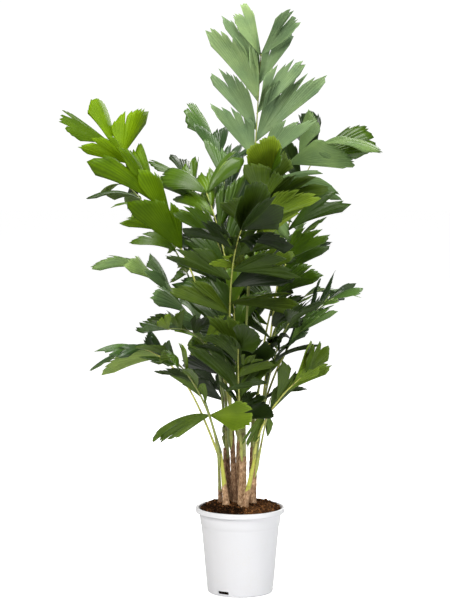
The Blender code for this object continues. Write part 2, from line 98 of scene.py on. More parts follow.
class Tone(Enum):
    """The green of a whole frond: lime is its own yellow-green brightened as painted light shining through,
    dark is painted shade deep in the crown.
    """

    # Partly painted light: the fronds' own yellow-green, brightened for light shining through the leaflets
    LIME = "lime"
    PALE = "pale"
    MID = "mid"
    # Painted shade: a near-black green for the fronds deep in the crown, on both sides of the leaflets
    DARK = "dark"
    BLUE = "blue"


class Skin(Enum):
    """The two sides of a leaflet, by their material index."""

    UPPER = 0
    UNDER = 1


@dataclass(frozen=True)
class Cane:
    """A cane: where it stands on the soil, its height, how far its tip leans, and its two radii."""

    name: str
    foot: Pair
    height: float
    lean: Pair
    thick: Pair

    def point(self, share: float) -> Vector:
        """The middle of the cane at a share of its height."""
        return Vector((self.foot[0] + self.lean[0] * share, self.foot[1] + self.lean[1] * share,
                       SOIL_TOP + GAP + self.height * share))

    def radius(self, share: float) -> float:
        """The cane's radius at a share of its height, without the root flare."""
        return self.thick[0] + (self.thick[1] - self.thick[0]) * share


@dataclass(frozen=True)
class Frond:
    """A frond: how its rib grows from its cane, and how its leaflets stand on the rib.

    leaves is the share of the cane's height at which the rib starts, bearing its direction in plan, rise its
    first angle above level, arch how far it bends over, late how much of that comes towards the tip and sway
    how far the bearing turns. bare is the share of the rib below its first leaflets. reach is the longest
    leaflet, shrink the last pair's share of it, spread the angle between leaflet and rib at both ends, fan
    half the angle of a leaflet, roll and lift how the blade turns about the rib and rises from its plane,
    and droop how far a leaflet bends down. All angles are in degrees.
    """

    name: str
    cane: str
    leaves: float
    bearing: float
    rise: float
    arch: float
    length: float
    tone: Tone
    seed: int
    late: float = 1.8
    sway: float = 0.0
    bare: float = 0.5
    pairs: int = 5
    reach: float = 0.24
    shrink: float = 0.72
    spread: Pair = (58.0, 24.0)
    fan: float = 22.0
    roll: float = 0.0
    lift: float = 15.0
    droop: float = 20.0


@dataclass(frozen=True)
class Leaflet:
    """One leaflet: its root, its own directions, its length, half angle and bend, and its rays."""

    root: Vector
    along: Vector
    face: Vector
    across: Vector
    length: float
    fan: float
    droop: float
    rays: tuple[Pair, ...]


CANES = (
    Cane("cane_main", foot=(0.006, -0.034), height=0.326, lean=(0.004, 0.004), thick=(0.0140, 0.0066)),
    Cane("cane_front_right", foot=(0.013, -0.068), height=0.146, lean=(0.029, -0.002),
         thick=(0.0105, 0.0058)),
    Cane("cane_front_left", foot=(-0.042, -0.034), height=0.159, lean=(-0.017, -0.004),
         thick=(0.0105, 0.0055)),
    Cane("cane_mid_left", foot=(-0.017, 0.000), height=0.281, lean=(-0.010, 0.004), thick=(0.0100, 0.0058)),
    Cane("cane_left", foot=(-0.060, 0.004), height=0.146, lean=(-0.006, 0.004), thick=(0.0065, 0.0045)),
    Cane("cane_right", foot=(0.037, -0.012), height=0.206, lean=(0.008, -0.002), thick=(0.0115, 0.0065)),
    Cane("cane_right_back", foot=(0.034, 0.030), height=0.271, lean=(0.006, 0.006), thick=(0.0105, 0.0065)),
    Cane("cane_back", foot=(-0.004, 0.046), height=0.301, lean=(0.002, 0.010), thick=(0.0110, 0.0062)),
    Cane("cane_back_left", foot=(-0.034, 0.042), height=0.221, lean=(-0.008, 0.008), thick=(0.0100, 0.0060)),
    Cane("cane_broken", foot=(-0.045, 0.022), height=0.166, lean=(-0.002, 0.002), thick=(0.0070, 0.0050)),
)

# The fronds' sizes, angles, shares and seeds were worked out by fitting and search programs and then
# rounded. They weren't set by hand.
FRONDS = (
    Frond("frond_top", "cane_main", leaves=1, bearing=-61, rise=86, arch=0, length=1.02,
          tone=Tone.PALE, seed=22, late=1.29, sway=30, bare=0.67, reach=0.29, shrink=0.57, spread=(25, 29),
          fan=19, roll=-66, lift=11, droop=0),
    Frond("frond_bright", "cane_mid_left", leaves=1, bearing=172, rise=78, arch=32, length=0.89,
          tone=Tone.LIME, seed=342, late=1.55, sway=-3, bare=0.57, pairs=6, reach=0.28, shrink=0.62,
          spread=(27, 47), fan=28, roll=-36, lift=52, droop=4),
    Frond("frond_grey", "cane_back_left", leaves=1, bearing=185, rise=95, arch=62, length=0.62,
          tone=Tone.PALE, seed=673, late=0.79, sway=-8, pairs=6, reach=0.215, shrink=0.64, spread=(59, 8),
          fan=24, lift=22),
    Frond("frond_low_left", "cane_left", leaves=1, bearing=199, rise=68, arch=56, length=0.44,
          tone=Tone.BLUE, seed=989, late=2.6, sway=10, bare=0.72, reach=0.215, shrink=0.78, spread=(38, 9),
          fan=20, roll=17, lift=6, droop=26),
    Frond("frond_low_left_front", "cane_front_left", leaves=0.95, bearing=233, rise=81, arch=53, length=0.45,
          tone=Tone.MID, seed=239, late=0.8, sway=5, bare=0.4, reach=0.16, shrink=1, spread=(32, 21), fan=18,
          roll=-8, lift=21),
    Frond("frond_right_low", "cane_front_right", leaves=1, bearing=-18, rise=95, arch=58, length=0.32,
          tone=Tone.MID, seed=683, late=0.6, sway=-3, bare=0.49, pairs=3, reach=0.18, shrink=0.74,
          spread=(25, 21), fan=21, roll=-28, lift=44, droop=2),
    Frond("frond_right_mid", "cane_right", leaves=1, bearing=-25, rise=74, arch=39, length=0.49,
          tone=Tone.BLUE, seed=748, late=1.88, sway=1, bare=0.55, pairs=8, reach=0.18, shrink=0.71,
          spread=(29, 28), fan=13, roll=32, lift=13, droop=14),
    Frond("frond_right_high", "cane_right", leaves=0.93, bearing=32, rise=82, arch=37, length=0.89,
          tone=Tone.MID, seed=879, late=3.8, sway=17, bare=0.35, pairs=7, reach=0.215, shrink=1,
          spread=(59, 40), fan=21, roll=15, lift=25, droop=14),
    Frond("frond_right_arc", "cane_right_back", leaves=1, bearing=6, rise=78, arch=100, length=0.51,
          tone=Tone.PALE, seed=638, late=2.95, sway=-3, bare=0.43, reach=0.14, shrink=0.5, spread=(25, 10),
          fan=23, roll=-4, lift=-15, droop=14),
    Frond("frond_second", "cane_back", leaves=1, bearing=33, rise=92, arch=76, length=0.88,
          tone=Tone.PALE, seed=701, late=2.7, sway=-27, bare=0.66, reach=0.215, shrink=0.89, spread=(73, 15),
          roll=42, lift=0, droop=42),
    Frond("frond_dark_left", "cane_main", leaves=0.9, bearing=133, rise=86, arch=25, length=0.66,
          tone=Tone.MID, seed=728, sway=2, bare=0.31, pairs=7, reach=0.215, shrink=0.81, spread=(33, 36),
          fan=21, roll=-42, lift=50, droop=39),
    Frond("frond_mid_left", "cane_mid_left", leaves=0.7, bearing=214, rise=85, arch=94, length=0.47,
          tone=Tone.MID, seed=29, late=2.2, sway=7, bare=0.36, pairs=7, reach=0.19, shrink=0.66,
          spread=(85, 48), fan=21, roll=3, lift=34, droop=6),
    Frond("frond_front", "cane_main", leaves=0.5, bearing=253, rise=81, arch=31, length=0.35,
          tone=Tone.DARK, seed=974, sway=19, bare=0.3, pairs=8, reach=0.19, shrink=0.82, spread=(49, 21),
          fan=24, roll=-32, lift=50, droop=37),
    Frond("frond_front_right", "cane_right", leaves=0.76, bearing=298, rise=76, arch=32, length=0.46,
          tone=Tone.DARK, seed=713, sway=-1, bare=0.38, pairs=8, reach=0.2, shrink=0.75, spread=(80, 38),
          fan=14, roll=24, lift=30, droop=32),
    Frond("frond_front_high", "cane_main", leaves=0.92, bearing=279, rise=86, arch=24, length=0.7,
          tone=Tone.MID, seed=672, sway=33, bare=0.56, pairs=8, reach=0.215, shrink=0.87, spread=(42, 32),
          fan=24, lift=-15, droop=17),
    Frond("frond_front_left", "cane_mid_left", leaves=0.73, bearing=256, rise=85, arch=48, length=0.71,
          tone=Tone.DARK, seed=373, sway=30, bare=0.43, pairs=8, reach=0.215, shrink=1, spread=(85, 8),
          fan=24, roll=-21, lift=13, droop=2),
    Frond("frond_low_leaf", "cane_front_left", leaves=1, bearing=198, rise=74, arch=2, length=0.17,
          tone=Tone.MID, seed=549, late=1.9, sway=3, bare=0.71, pairs=1, reach=0.21, shrink=0.89,
          spread=(92, 56), fan=24, roll=45, lift=16, droop=60),
    Frond("frond_low_right", "cane_front_right", leaves=0.86, bearing=0, rise=79, arch=0, length=0.21,
          tone=Tone.MID, seed=855, late=1, bare=0.86, pairs=1, reach=0.16, shrink=1, spread=(155, 155),
          fan=15, roll=-45, lift=45, droop=12),
    Frond("frond_back", "cane_back", leaves=0.95, bearing=100, rise=88, arch=37, length=0.83,
          tone=Tone.BLUE, seed=396, sway=14, bare=0.51, pairs=7, reach=0.2, shrink=0.74, spread=(25, 33),
          roll=6, lift=50, droop=0),
    Frond("frond_back_left", "cane_back_left", leaves=0.95, bearing=93, rise=90, arch=34, length=0.62,
          tone=Tone.BLUE, seed=802, sway=-9, bare=0.39, pairs=6, reach=0.215, shrink=0.86, spread=(48, 17),
          fan=24, roll=-2, lift=16, droop=44),
    Frond("frond_back_right", "cane_right_back", leaves=0.75, bearing=37, rise=87, arch=52, length=0.66,
          tone=Tone.MID, seed=391, sway=24, bare=0.51, pairs=6, reach=0.21, shrink=0.52, spread=(69, 24),
          fan=18, roll=-18, lift=36, droop=29),
    Frond("frond_back_high", "cane_back", leaves=0.74, bearing=142, rise=92, arch=49, length=0.8,
          tone=Tone.MID, seed=608, sway=-3, bare=0.3, pairs=7, reach=0.21, shrink=0.77, spread=(58, 20),
          fan=17, roll=-18, lift=19, droop=17),
    Frond("frond_back_low", "cane_back_left", leaves=0.54, bearing=100, rise=72, arch=59, length=0.42,
          tone=Tone.DARK, seed=618, sway=5, bare=0.46, pairs=8, reach=0.2, shrink=0.67, spread=(51, 20),
          fan=24, roll=-49, lift=40, droop=55),
    Frond("frond_left_high", "cane_back_left", leaves=0.88, bearing=150, rise=93, arch=75, length=0.96,
          tone=Tone.MID, seed=236, late=1, sway=-36, bare=0.54, pairs=6, reach=0.2, shrink=0.7,
          spread=(74, 27), fan=21, roll=16, lift=24, droop=65),
)


def rib_course(frond: Frond, cane: Cane) -> tuple[list[Vector], list[Vector]]:
    """The course of a rib, as in the solids.

    Args:
        frond: The frond whose rib it is.
        cane: The cane that it leaves.

    Returns:
        The rib's points from foot to tip, and its direction along each step between them.
    """
    bearing = math.radians(frond.bearing)
    point = cane.point(frond.leaves)
    if frond.leaves < 1:
        side = Vector((math.cos(bearing), math.sin(bearing), 0.0))
        point += side * (cane.radius(frond.leaves) + RIB_FOOT + GAP)
    else:
        point += UP * (GAP + RIB_FOOT * abs(math.cos(math.radians(frond.rise))))
    points = [point]
    ways = []
    for k in range(RIB_STEPS):
        share = (k + 0.5) / RIB_STEPS
        pitch = math.radians(frond.rise - frond.arch * share ** frond.late)
        turn = bearing + math.radians(frond.sway) * share
        level = math.cos(pitch)
        way = Vector((level * math.cos(turn), level * math.sin(turn), math.sin(pitch)))
        point = point + way * (frond.length / RIB_STEPS)
        points.append(point)
        ways.append(way)
    return points, ways


def leaflet_at(frond: Frond, points: Sequence[Vector], ways: Sequence[Vector], draw: random.Random,
               pair: int, side: int) -> Leaflet:
    """The leaflet of one side of a pair, on its place along the rib, as in the solids.

    Args:
        frond: The frond that carries it.
        points: The rib's points.
        ways: The rib's directions.
        draw: The frond's own seeded draws.
        pair: The pair, counted from the lowest.
        side: -1 or 1.

    Returns:
        The leaflet.
    """
    share = pair / max(frond.pairs - 1, 1)
    last = pair == frond.pairs - 1
    place = frond.bare + share * (1 - frond.bare)
    if not last and side > 0:
        place += (1 - frond.bare) / max(frond.pairs - 1, 1) * LEAF_STAGGER
    step = min(place * RIB_STEPS, LAST_STEP)
    low = int(step)
    root = points[low].lerp(points[low + 1], step - low)
    way = ways[low]
    level = way.cross(UP).normalized()
    normal = Quaternion(way, math.radians(frond.roll)) @ level.cross(way)
    out = way.cross(normal) * side
    spread = frond.spread[0] + (frond.spread[1] - frond.spread[0]) * share
    spread = math.radians(spread + draw.uniform(-SPREAD_PLAY, SPREAD_PLAY))
    lift = math.radians(frond.lift * (1 - LIFT_FADE * share) + draw.uniform(-LIFT_PLAY, LIFT_PLAY))
    sideways = out * math.cos(lift) + normal * math.sin(lift)
    along = (way * math.cos(spread) + sideways * math.sin(spread)).normalized()
    face = (normal - along * normal.dot(along)).normalized()
    face = Quaternion(along, math.radians(draw.uniform(-TWIST_PLAY, TWIST_PLAY))) @ face
    across = face.cross(along)
    if across.dot(way) < 0:
        across = -across
    size = 1 - (1 - frond.shrink) * share ** SHRINK_POWER
    size *= FIRST_SIZE + FIRST_GAIN * min(1, share * FIRST_ZONE)
    length = frond.reach * size * draw.uniform(*SIZE_PLAY)
    fan = math.radians(frond.fan * draw.uniform(*FAN_PLAY))
    droop = math.radians(frond.droop * draw.uniform(*DROOP_PLAY))
    return Leaflet(root, along, face, across, length, fan, droop, END_RAYS if last else SIDE_RAYS)


def leaflets_of(frond: Frond, points: Sequence[Vector], ways: Sequence[Vector]) -> list[Leaflet]:
    """A frond's leaflets, pair by pair from the lowest, each with its own draws from the frond's seed."""
    draw = random.Random(frond.seed)
    places = [(pair, side) for pair in range(frond.pairs) for side in (-1, 1)]
    return [leaflet_at(frond, points, ways, draw, pair, side) for pair, side in places]


def ray_point(leaf: Leaflet, size: float, turn: float, ray: int) -> Vector:
    """The end of one ray of a leaflet's coarse plate, at a size and a turn in degrees."""
    turning = Quaternion(leaf.face, math.radians(turn))
    along = turning @ leaf.along
    across = turning @ leaf.across
    at, reach = leaf.rays[ray]
    bend = max(leaf.droop, LEAST_BEND) / (leaf.length * size)
    run = reach * leaf.length * size
    way = along * math.cos(at * leaf.fan) + across * math.sin(at * leaf.fan)
    bent = way * (math.sin(bend * run) / bend) - leaf.face * ((1 - math.cos(bend * run)) / bend)
    return leaf.root - along * LEAF_SINK + bent


def node_tree(name: str) -> BVHTree:
    """A search tree of a CAD node's faces."""
    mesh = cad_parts[name].data
    return BVHTree.FromPolygons([v.co for v in mesh.vertices], [tuple(p.vertices) for p in mesh.polygons])


def clear_selection() -> None:
    """Deselects everything, so that the next operator acts on its own piece alone."""
    if bpy.context.object is not None and bpy.context.object.mode != "OBJECT":
        bpy.ops.object.mode_set(mode="OBJECT")
    bpy.ops.object.select_all(action="DESELECT")


def select_only(item: bpy.types.Object) -> None:
    """Selects one object and makes it the active one."""
    clear_selection()
    item.select_set(True)
    bpy.context.view_layer.objects.active = item


def finish_piece(item: bpy.types.Object, nodes: Sequence[str]) -> None:
    """Lets a finished piece ride on the part's one body and stand for its CAD nodes.

    Args:
        item: The piece.
        nodes: The CAD nodes that it replaces.
    """
    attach(item, BODY)
    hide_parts(*nodes)
    count = sum(len(face.vertices) - 2 for face in item.data.polygons)
    LOG.info("%s: %d triangles for %s", item.name, count, ", ".join(nodes))


class MeshLot:
    """Many small closed shapes, gathered as arrays and joined into one mesh."""

    def __init__(self) -> None:
        """Starts an empty lot."""
        self.points: list[Array] = []
        self.quads: list[Array] = []
        self.skins: list[Array] = []
        self.patterns: list[Array] = []
        self.tints: list[Array] = []
        self.count = 0

    def add(self, points: Array, quads: Array, skins: Array, pattern: Array, tint: float) -> None:
        """Adds one shape.

        Args:
            points: Its points, one row each.
            quads: Its faces, four of its own point numbers a row.
            skins: The material index of each face.
            pattern: The pattern coordinates of each point, two a row.
            tint: How light the shape is beside its neighbours, from 0 to 1.
        """
        self.points.append(points)
        self.quads.append(quads + self.count)
        self.skins.append(skins)
        self.patterns.append(pattern)
        self.tints.append(np.full(len(quads), tint))
        self.count += len(points)

    def build(self, name: str, materials: Sequence[Material], weld: bool = False) -> bpy.types.Object:
        """Joins the lot into one smooth mesh object.

        Args:
            name: The object's name.
            materials: Its materials, in the order of the material indices.
            weld: Whether points on one place are merged, as at a tube's ends.

        Returns:
            The object.
        """
        points = np.concatenate(self.points)
        quads = np.concatenate(self.quads)
        mesh = bpy.data.meshes.new(name)
        mesh.vertices.add(len(points))
        mesh.vertices.foreach_set("co", points.astype(np.float32).ravel())
        mesh.loops.add(quads.size)
        mesh.loops.foreach_set("vertex_index", quads.astype(np.int32).ravel())
        mesh.polygons.add(len(quads))
        mesh.polygons.foreach_set("loop_start", np.arange(0, quads.size, 4, dtype=np.int32))
        for material in materials:
            mesh.materials.append(material)
        mesh.polygons.foreach_set("material_index", np.concatenate(self.skins).astype(np.int32))
        pattern = mesh.uv_layers.new(name="pattern")
        corners = np.concatenate(self.patterns)[quads.ravel()]
        pattern.data.foreach_set("uv", corners.astype(np.float32).ravel())
        tint = mesh.attributes.new("tint", "FLOAT", "FACE")
        tint.data.foreach_set("value", np.concatenate(self.tints).astype(np.float32))
        mesh.update(calc_edges=True)
        mesh.shade_smooth()
        item = bpy.data.objects.new(name, mesh)
        bpy.context.scene.collection.objects.link(item)
        if weld:
            select_only(item)
            bpy.ops.object.mode_set(mode="EDIT")
            bpy.ops.mesh.select_all(action="SELECT")
            bpy.ops.mesh.remove_doubles(threshold=WELD)
            bpy.ops.object.mode_set(mode="OBJECT")
        return item


def grid_quads(rows: int, columns: int, closed: bool = False) -> Array:
    """The faces of a grid of points.

    Args:
        rows: How many rows of points it has.
        columns: How many points a row has.
        closed: Whether the last column joins the first.

    Returns:
        Four point numbers a row.
    """
    across = np.arange(columns if closed else columns - 1)
    up = np.arange(rows - 1)[:, None]
    here = up * columns + across
    there = up * columns + (across + 1) % columns
    return np.stack([here, there, there + columns, here + columns], axis=-1).reshape(-1, 4)


def unit(vectors: Array) -> Array:
    """Vectors at length one."""
    return vectors / np.maximum(np.linalg.norm(vectors, axis=-1, keepdims=True), 1e-12)


def circle(count: int) -> Array:
    """Even angles round a full turn."""
    return np.linspace(0, math.tau, count, endpoint=False)


def spokes(first: Array, second: Array, turn: Array) -> Array:
    """Directions round a course, from its two cross directions at each of its points."""
    return first[:, None] * np.cos(turn)[:, None] + second[:, None] * np.sin(turn)[:, None]


@dataclass(frozen=True)
class BladeForm:
    """The shape of a leaflet's blade beyond its rays, in metres and shares of its length.

    tooth_steps are the columns across a tooth: each one's place on it, its share of the tooth's nick, and
    its pleat. overreach is how far the tips may stand past the coarse plate's.
    """

    teeth: int = 10
    tooth: Pair = (0.35, 1.8)
    tooth_steps: tuple[tuple[float, float, float], ...] = (
        (0.06, 0.0, 1.0), (0.5, 0.5, 0.3), (0.94, 1.0, -1.0))
    lobes: tuple[int, ...] = (1, 2, 2, 2, 3, 3)
    lobe_width: Pair = (0.7, 1.5)
    last_fall: float = 0.4
    far_parting: float = 0.5
    overreach: float = 1.02
    waves: float = 2.6
    rows: int = 10
    thickness: float = 0.0009
    nick: Pair = (0.008, 0.09)
    fall: Pair = (0.0, 0.18)
    split: Pair = (0.14, 0.45)
    parting: Pair = (0.03, 0.12)
    pleat: float = 0.2
    deepest_pleat: float = 0.00035
    lobe_lift: float = 0.04
    camber: Pair = (-0.14, 0.3)
    wave: Pair = (0.02, 0.085)
    curl: Pair = (-0.05, 0.18)

    def outline(self, rays: Sequence[Pair], draw: random.Random) -> tuple[Array, ...]:
        """The blade's columns: a few lobes, which splits part, and slanting teeth along each lobe's end.

        Args:
            rays: The coarse plate's rays.
            draw: The leaflet's own seeded draws.

        Returns:
            Each column's place from -1 to 1, its share of the length, its pleat from -1 to 1, and how far its
            lobe stands up.
        """
        lobes = draw.choice(self.lobes)
        widths = np.array([draw.uniform(*self.lobe_width) for _ in range(lobes)])
        edges = np.concatenate([[-1.0], -1.0 + 2.0 * np.cumsum(widths) / widths.sum()])
        columns = []
        for k in range(lobes):
            rise = draw.uniform(-1, 1)
            low = edges[k] + (draw.uniform(*self.parting) if k else 0.0)
            last = k == lobes - 1
            high = edges[k + 1] - (0.0 if last else draw.uniform(*self.parting) * self.far_parting)
            teeth = max(2, round((high - low) * self.teeth / 2))
            fall = draw.uniform(*self.fall) * (self.last_fall if last else 1.0)
            steps = np.array([draw.uniform(*self.tooth) for _ in range(teeth)])
            starts = np.concatenate([[0.0], np.cumsum(steps)]) / steps.sum()
            for j in range(teeth):
                nick = draw.uniform(*self.nick)
                for part, depth, pleat in self.tooth_steps:
                    place = starts[j] + (starts[j + 1] - starts[j]) * part
                    columns.append((low + (high - low) * place, fall * place + depth * nick, pleat, rise))
            if not last:
                columns.append((edges[k + 1], draw.uniform(*self.split), -1.0, 0.0))
        at, cuts, pleats, rises = (np.array(values) for values in zip(*columns))
        at[0] = -1.0
        at[-1] = 1.0
        reach = np.interp(at, [ray[0] for ray in rays], [ray[1] for ray in rays])
        return at, reach * (self.overreach - cuts), pleats, rises

    def add_to(self, lot: MeshLot, leaf: Leaflet, size: float, turn: float, tint: float,
               draw: random.Random) -> None:
        """Adds a leaflet's closed blade to a lot.

        Args:
            lot: The lot of its frond's tone.
            leaf: The leaflet.
            size: The share of its length that it has.
            turn: How far it is turned about its face, in degrees.
            tint: How dark or light it is, from 0 to 1.
            draw: The leaflet's own seeded draws.
        """
        turning = Quaternion(leaf.face, math.radians(turn))
        along = np.array(turning @ leaf.along)
        across = np.array(turning @ leaf.across)
        face = np.array(leaf.face)
        length = leaf.length * size
        bend = max(leaf.droop, LEAST_BEND) / length
        at, reach, pleats, rises = self.outline(leaf.rays, draw)
        row = np.linspace(0.0, 1.0, self.rows)[:, None]
        run = row * reach * length
        way = np.outer(np.cos(at * leaf.fan), along) + np.outer(np.sin(at * leaf.fan), across)
        depth = np.minimum(self.pleat * 2 * leaf.fan / len(at) * run, self.deepest_pleat)
        rise = pleats * depth + rises * self.lobe_lift * length * row ** 2
        rise -= draw.uniform(*self.camber) * at ** 2 * run
        swing = draw.uniform(*self.wave) * length * row ** 2
        rise += swing * np.sin(draw.uniform(0, PHASE) + self.waves * at)
        rise -= draw.uniform(*self.curl) * length * row ** 3
        neck = (at * LEAF_NECK * (1 - row))[..., None] * across
        middle = np.array(leaf.root) - along * LEAF_SINK + neck + way * (np.sin(bend * run) / bend)[..., None]
        middle += face * (rise - (1 - np.cos(bend * run)) / bend)[..., None]
        normal = unit(np.cross(np.gradient(middle, axis=1), np.gradient(middle, axis=0)))
        front = float(np.sign(np.dot(np.cross(across, along), face)))
        normal *= front
        upper = (middle + normal * self.thickness / 2).reshape(-1, 3)
        under = (middle - normal * self.thickness / 2).reshape(-1, 3)
        rows, columns = middle.shape[:2]
        count = rows * columns
        sheet = grid_quads(rows, columns)
        first = np.arange(columns)
        right = np.arange(1, rows + 1) * columns - 1
        rim = np.concatenate([first, right[1:], (count - 1 - first)[1:], (right - columns + 1)[::-1][1:]])
        ahead = np.roll(rim[:-1], -1)
        ahead[-1] = rim[0]
        band = np.stack([ahead, rim[:-1], rim[:-1] + count, ahead + count], axis=-1)
        quads = np.concatenate([sheet, sheet[:, ::-1] + count, band])
        if front < 0:
            quads = quads[:, ::-1]
        skins = np.concatenate([np.full(len(sheet), Skin.UPPER.value),
                                np.full(len(sheet) + len(band), Skin.UNDER.value)])
        pattern = np.stack([np.broadcast_to((at + 1) / 2, run.shape), run / length], axis=-1).reshape(-1, 2)
        lot.add(np.concatenate([upper, under]), quads, skins, np.concatenate([pattern, pattern]), tint)


@dataclass(frozen=True)
class StalkForm:
    """The round parts of a frond: its rib, the sheath that it grows from, and its leaflets' swollen feet.

    sheath is how far up the sheath thins out, flare by which power, and swell the foot's girth beside the
    rib's. clasp is how far a sheath runs down its cane, with lean its share of the way in, and sunk how far
    a rib on a cane's tip starts below it. A knuckle has its half length, girth and roundness.
    """

    sides: int = 12
    rings: int = 64
    smoothings: int = 3
    sheath: float = 0.085
    flare: float = 1.6
    swell: float = 1.35
    clasp: float = 0.034
    clasp_tip: float = 0.0016
    lean: float = 0.55
    sunk: float = 0.004
    sunk_girth: float = 0.96
    groove: float = 0.16
    groove_width: float = 0.5
    knuckle: tuple[float, float, float] = (0.0039, 0.00195, 0.92)

    def rings_of(self, frond: Frond, cane: Cane, points: Sequence[Vector]) -> tuple[Array, Array]:
        """The rib's centre points and radii, carried down into the sheath round its cane.

        Args:
            frond: The frond.
            cane: The cane that it leaves.
            points: The rib's points.

        Returns:
            The centres, one row each, and the radii.
        """
        course = np.array(points)
        knots = np.linspace(0.0, 1.0, len(course))
        share = np.linspace(0.0, 1.0, self.rings)
        centres = np.stack([np.interp(share, knots, course[:, k]) for k in range(3)], axis=1)
        for _ in range(self.smoothings):
            centres[1:-1] = (centres[:-2] + 2 * centres[1:-1] + centres[2:]) / 4
        radii = RIB_FOOT + (RIB_TIP - RIB_FOOT) * share
        room = frond.length * share / self.sheath
        foot = cane.radius(1.0) if frond.leaves == 1 else RIB_FOOT * self.swell
        radii += (foot - RIB_FOOT) * np.clip(1 - room, 0, 1) ** self.flare
        if frond.leaves < 1:
            low = np.array(points[0])
            inward = np.array(cane.point(frond.leaves)) - low
            inward[2] = 0.0
            steps = np.linspace(1.0, 0.2, 5)[:, None]
            tail = low - np.array([0, 0, self.clasp]) * steps + inward * self.lean * steps ** 1.5
            centres = np.concatenate([tail, centres])
            radii = np.concatenate([np.linspace(self.clasp_tip, foot, len(steps) + 1)[:-1], radii])
        else:
            centres = np.concatenate([centres[:1] - np.array([[0, 0, self.sunk]]), centres])
            radii = np.concatenate([[foot * self.sunk_girth], radii])
        return centres, radii

    def add_rib(self, lot: MeshLot, frond: Frond, cane: Cane, points: Sequence[Vector]) -> None:
        """Adds a frond's rib as a closed tube with a shallow groove along its upper side."""
        centres, radii = self.rings_of(frond, cane, points)
        way = unit(np.gradient(centres, axis=0))
        level = np.cross(way, np.array([0.0, 0.0, 1.0]))
        bearing = math.radians(frond.bearing)
        level = unit(level + 1e-4 * np.array([-math.sin(bearing), math.cos(bearing), 0.0]))
        top = np.cross(level, way)
        turn = circle(self.sides)
        cut = 1 - self.groove * np.exp(-((turn - math.pi / 2) / self.groove_width) ** 2)
        rings = centres[:, None] + spokes(level, top, turn) * (radii[:, None] * cut)[..., None]
        self.add_tube(lot, rings, centres, frond.length, random.Random(frond.seed + 3).random())

    def add_tube(self, lot: MeshLot, rings: Array, centres: Array, length: float, tint: float = 0.5) -> None:
        """Adds rings of points as a tube that is closed at both ends."""
        count, sides = rings.shape[:2]
        ends = [centres[:1].repeat(sides, 0), rings.reshape(-1, 3), centres[-1:].repeat(sides, 0)]
        quads = grid_quads(count + 2, sides, closed=True)
        around = np.tile(np.arange(sides) / sides, count + 2)
        along = np.repeat(np.linspace(0, length, count + 2), sides)
        lot.add(np.concatenate(ends), quads, np.zeros(len(quads)), np.stack([around, along], axis=1), tint)

    def add_knuckle(self, lot: MeshLot, leaf: Leaflet) -> None:
        """Adds the swollen foot by which a leaflet sits on its rib."""
        turn = circle(8)
        steps = np.linspace(-1, 1, 6)
        half, girth, round_off = self.knuckle
        centres = np.array(leaf.root) + np.outer(steps * half, np.array(leaf.along))
        radii = girth * np.sqrt(np.maximum(1 - steps ** 2 * round_off, 0))
        way_round = 1 if leaf.face.cross(leaf.across).dot(leaf.along) > 0 else -1
        sideways = np.outer(np.sin(turn), np.array(leaf.across))
        spoke = np.outer(np.cos(turn), np.array(leaf.face)) + sideways * way_round
        self.add_tube(lot, centres[:, None] + spoke * radii[:, None, None], centres, length=0.01)


class Crown:
    """All fronds: their leaflets by tone, and their ribs."""

    NEAR = 0.0009
    ROOM = 85
    TINT_SEED = 17

    def __init__(self, blade: BladeForm, stalk: StalkForm, finishes: dict[Tone, "LeafFinish"],
                 rib: "StalkFinish") -> None:
        """Keeps the forms and finishes that its pieces are made with."""
        self.blade = blade
        self.stalk = stalk
        self.finishes = finishes
        self.rib = rib

    def seat(self, leaf: Leaflet, tree: BVHTree) -> Pair | None:
        """The size and turn that a leaflet's plate has in the frame, or None where it was left out."""
        for size, turn in SECOND_TRIES:
            ends = [tree.find_nearest(ray_point(leaf, size, turn, ray))[3] for ray in (1, 2)]
            if max(ends) < self.NEAR:
                return size, turn
        return None

    def build(self) -> None:
        """Builds the leaves of each tone and all the ribs."""
        canes = {cane.name: cane for cane in CANES}
        ribs = MeshLot()
        lots: dict[Tone, list[tuple[MeshLot, list[str], int]]] = {}
        for frond in FRONDS:
            points, ways = rib_course(frond, canes[frond.cane])
            tree = node_tree(frond.name)
            draw = random.Random(frond.seed * 7 + 1)
            leaves = leaflets_of(frond, points, ways)
            tints = random.Random(frond.seed + self.TINT_SEED)
            seats = [(leaf, self.seat(leaf, tree), tints.random()) for leaf in leaves]
            kept = [seat for seat in seats if seat[1] is not None]
            LOG.info("%s: %d of %d leaflets", frond.name, len(kept), len(leaves))
            groups = lots.setdefault(frond.tone, [(MeshLot(), [], 0)])
            if groups[-1][2] + len(kept) > self.ROOM:
                groups.append((MeshLot(), [], 0))
            lot, names, count = groups[-1]
            for leaf, (size, turn), tint in kept:
                self.blade.add_to(lot, leaf, size, turn, tint, random.Random(draw.random()))
                self.stalk.add_knuckle(ribs, leaf)
            groups[-1] = (lot, names + [frond.name], count + len(kept))
            self.stalk.add_rib(ribs, frond, canes[frond.cane], points)
        for tone, groups in lots.items():
            finish = self.finishes[tone]
            materials = finish.materials()
            for k, (lot, names, _) in enumerate(groups):
                finish_piece(lot.build(f"leaves_{tone.value}_{k + 1}", materials), names)
        rib_piece = ribs.build("frond_ribs", [self.rib.material()], weld=True)
        finish_piece(rib_piece, [frond.name for frond in FRONDS])


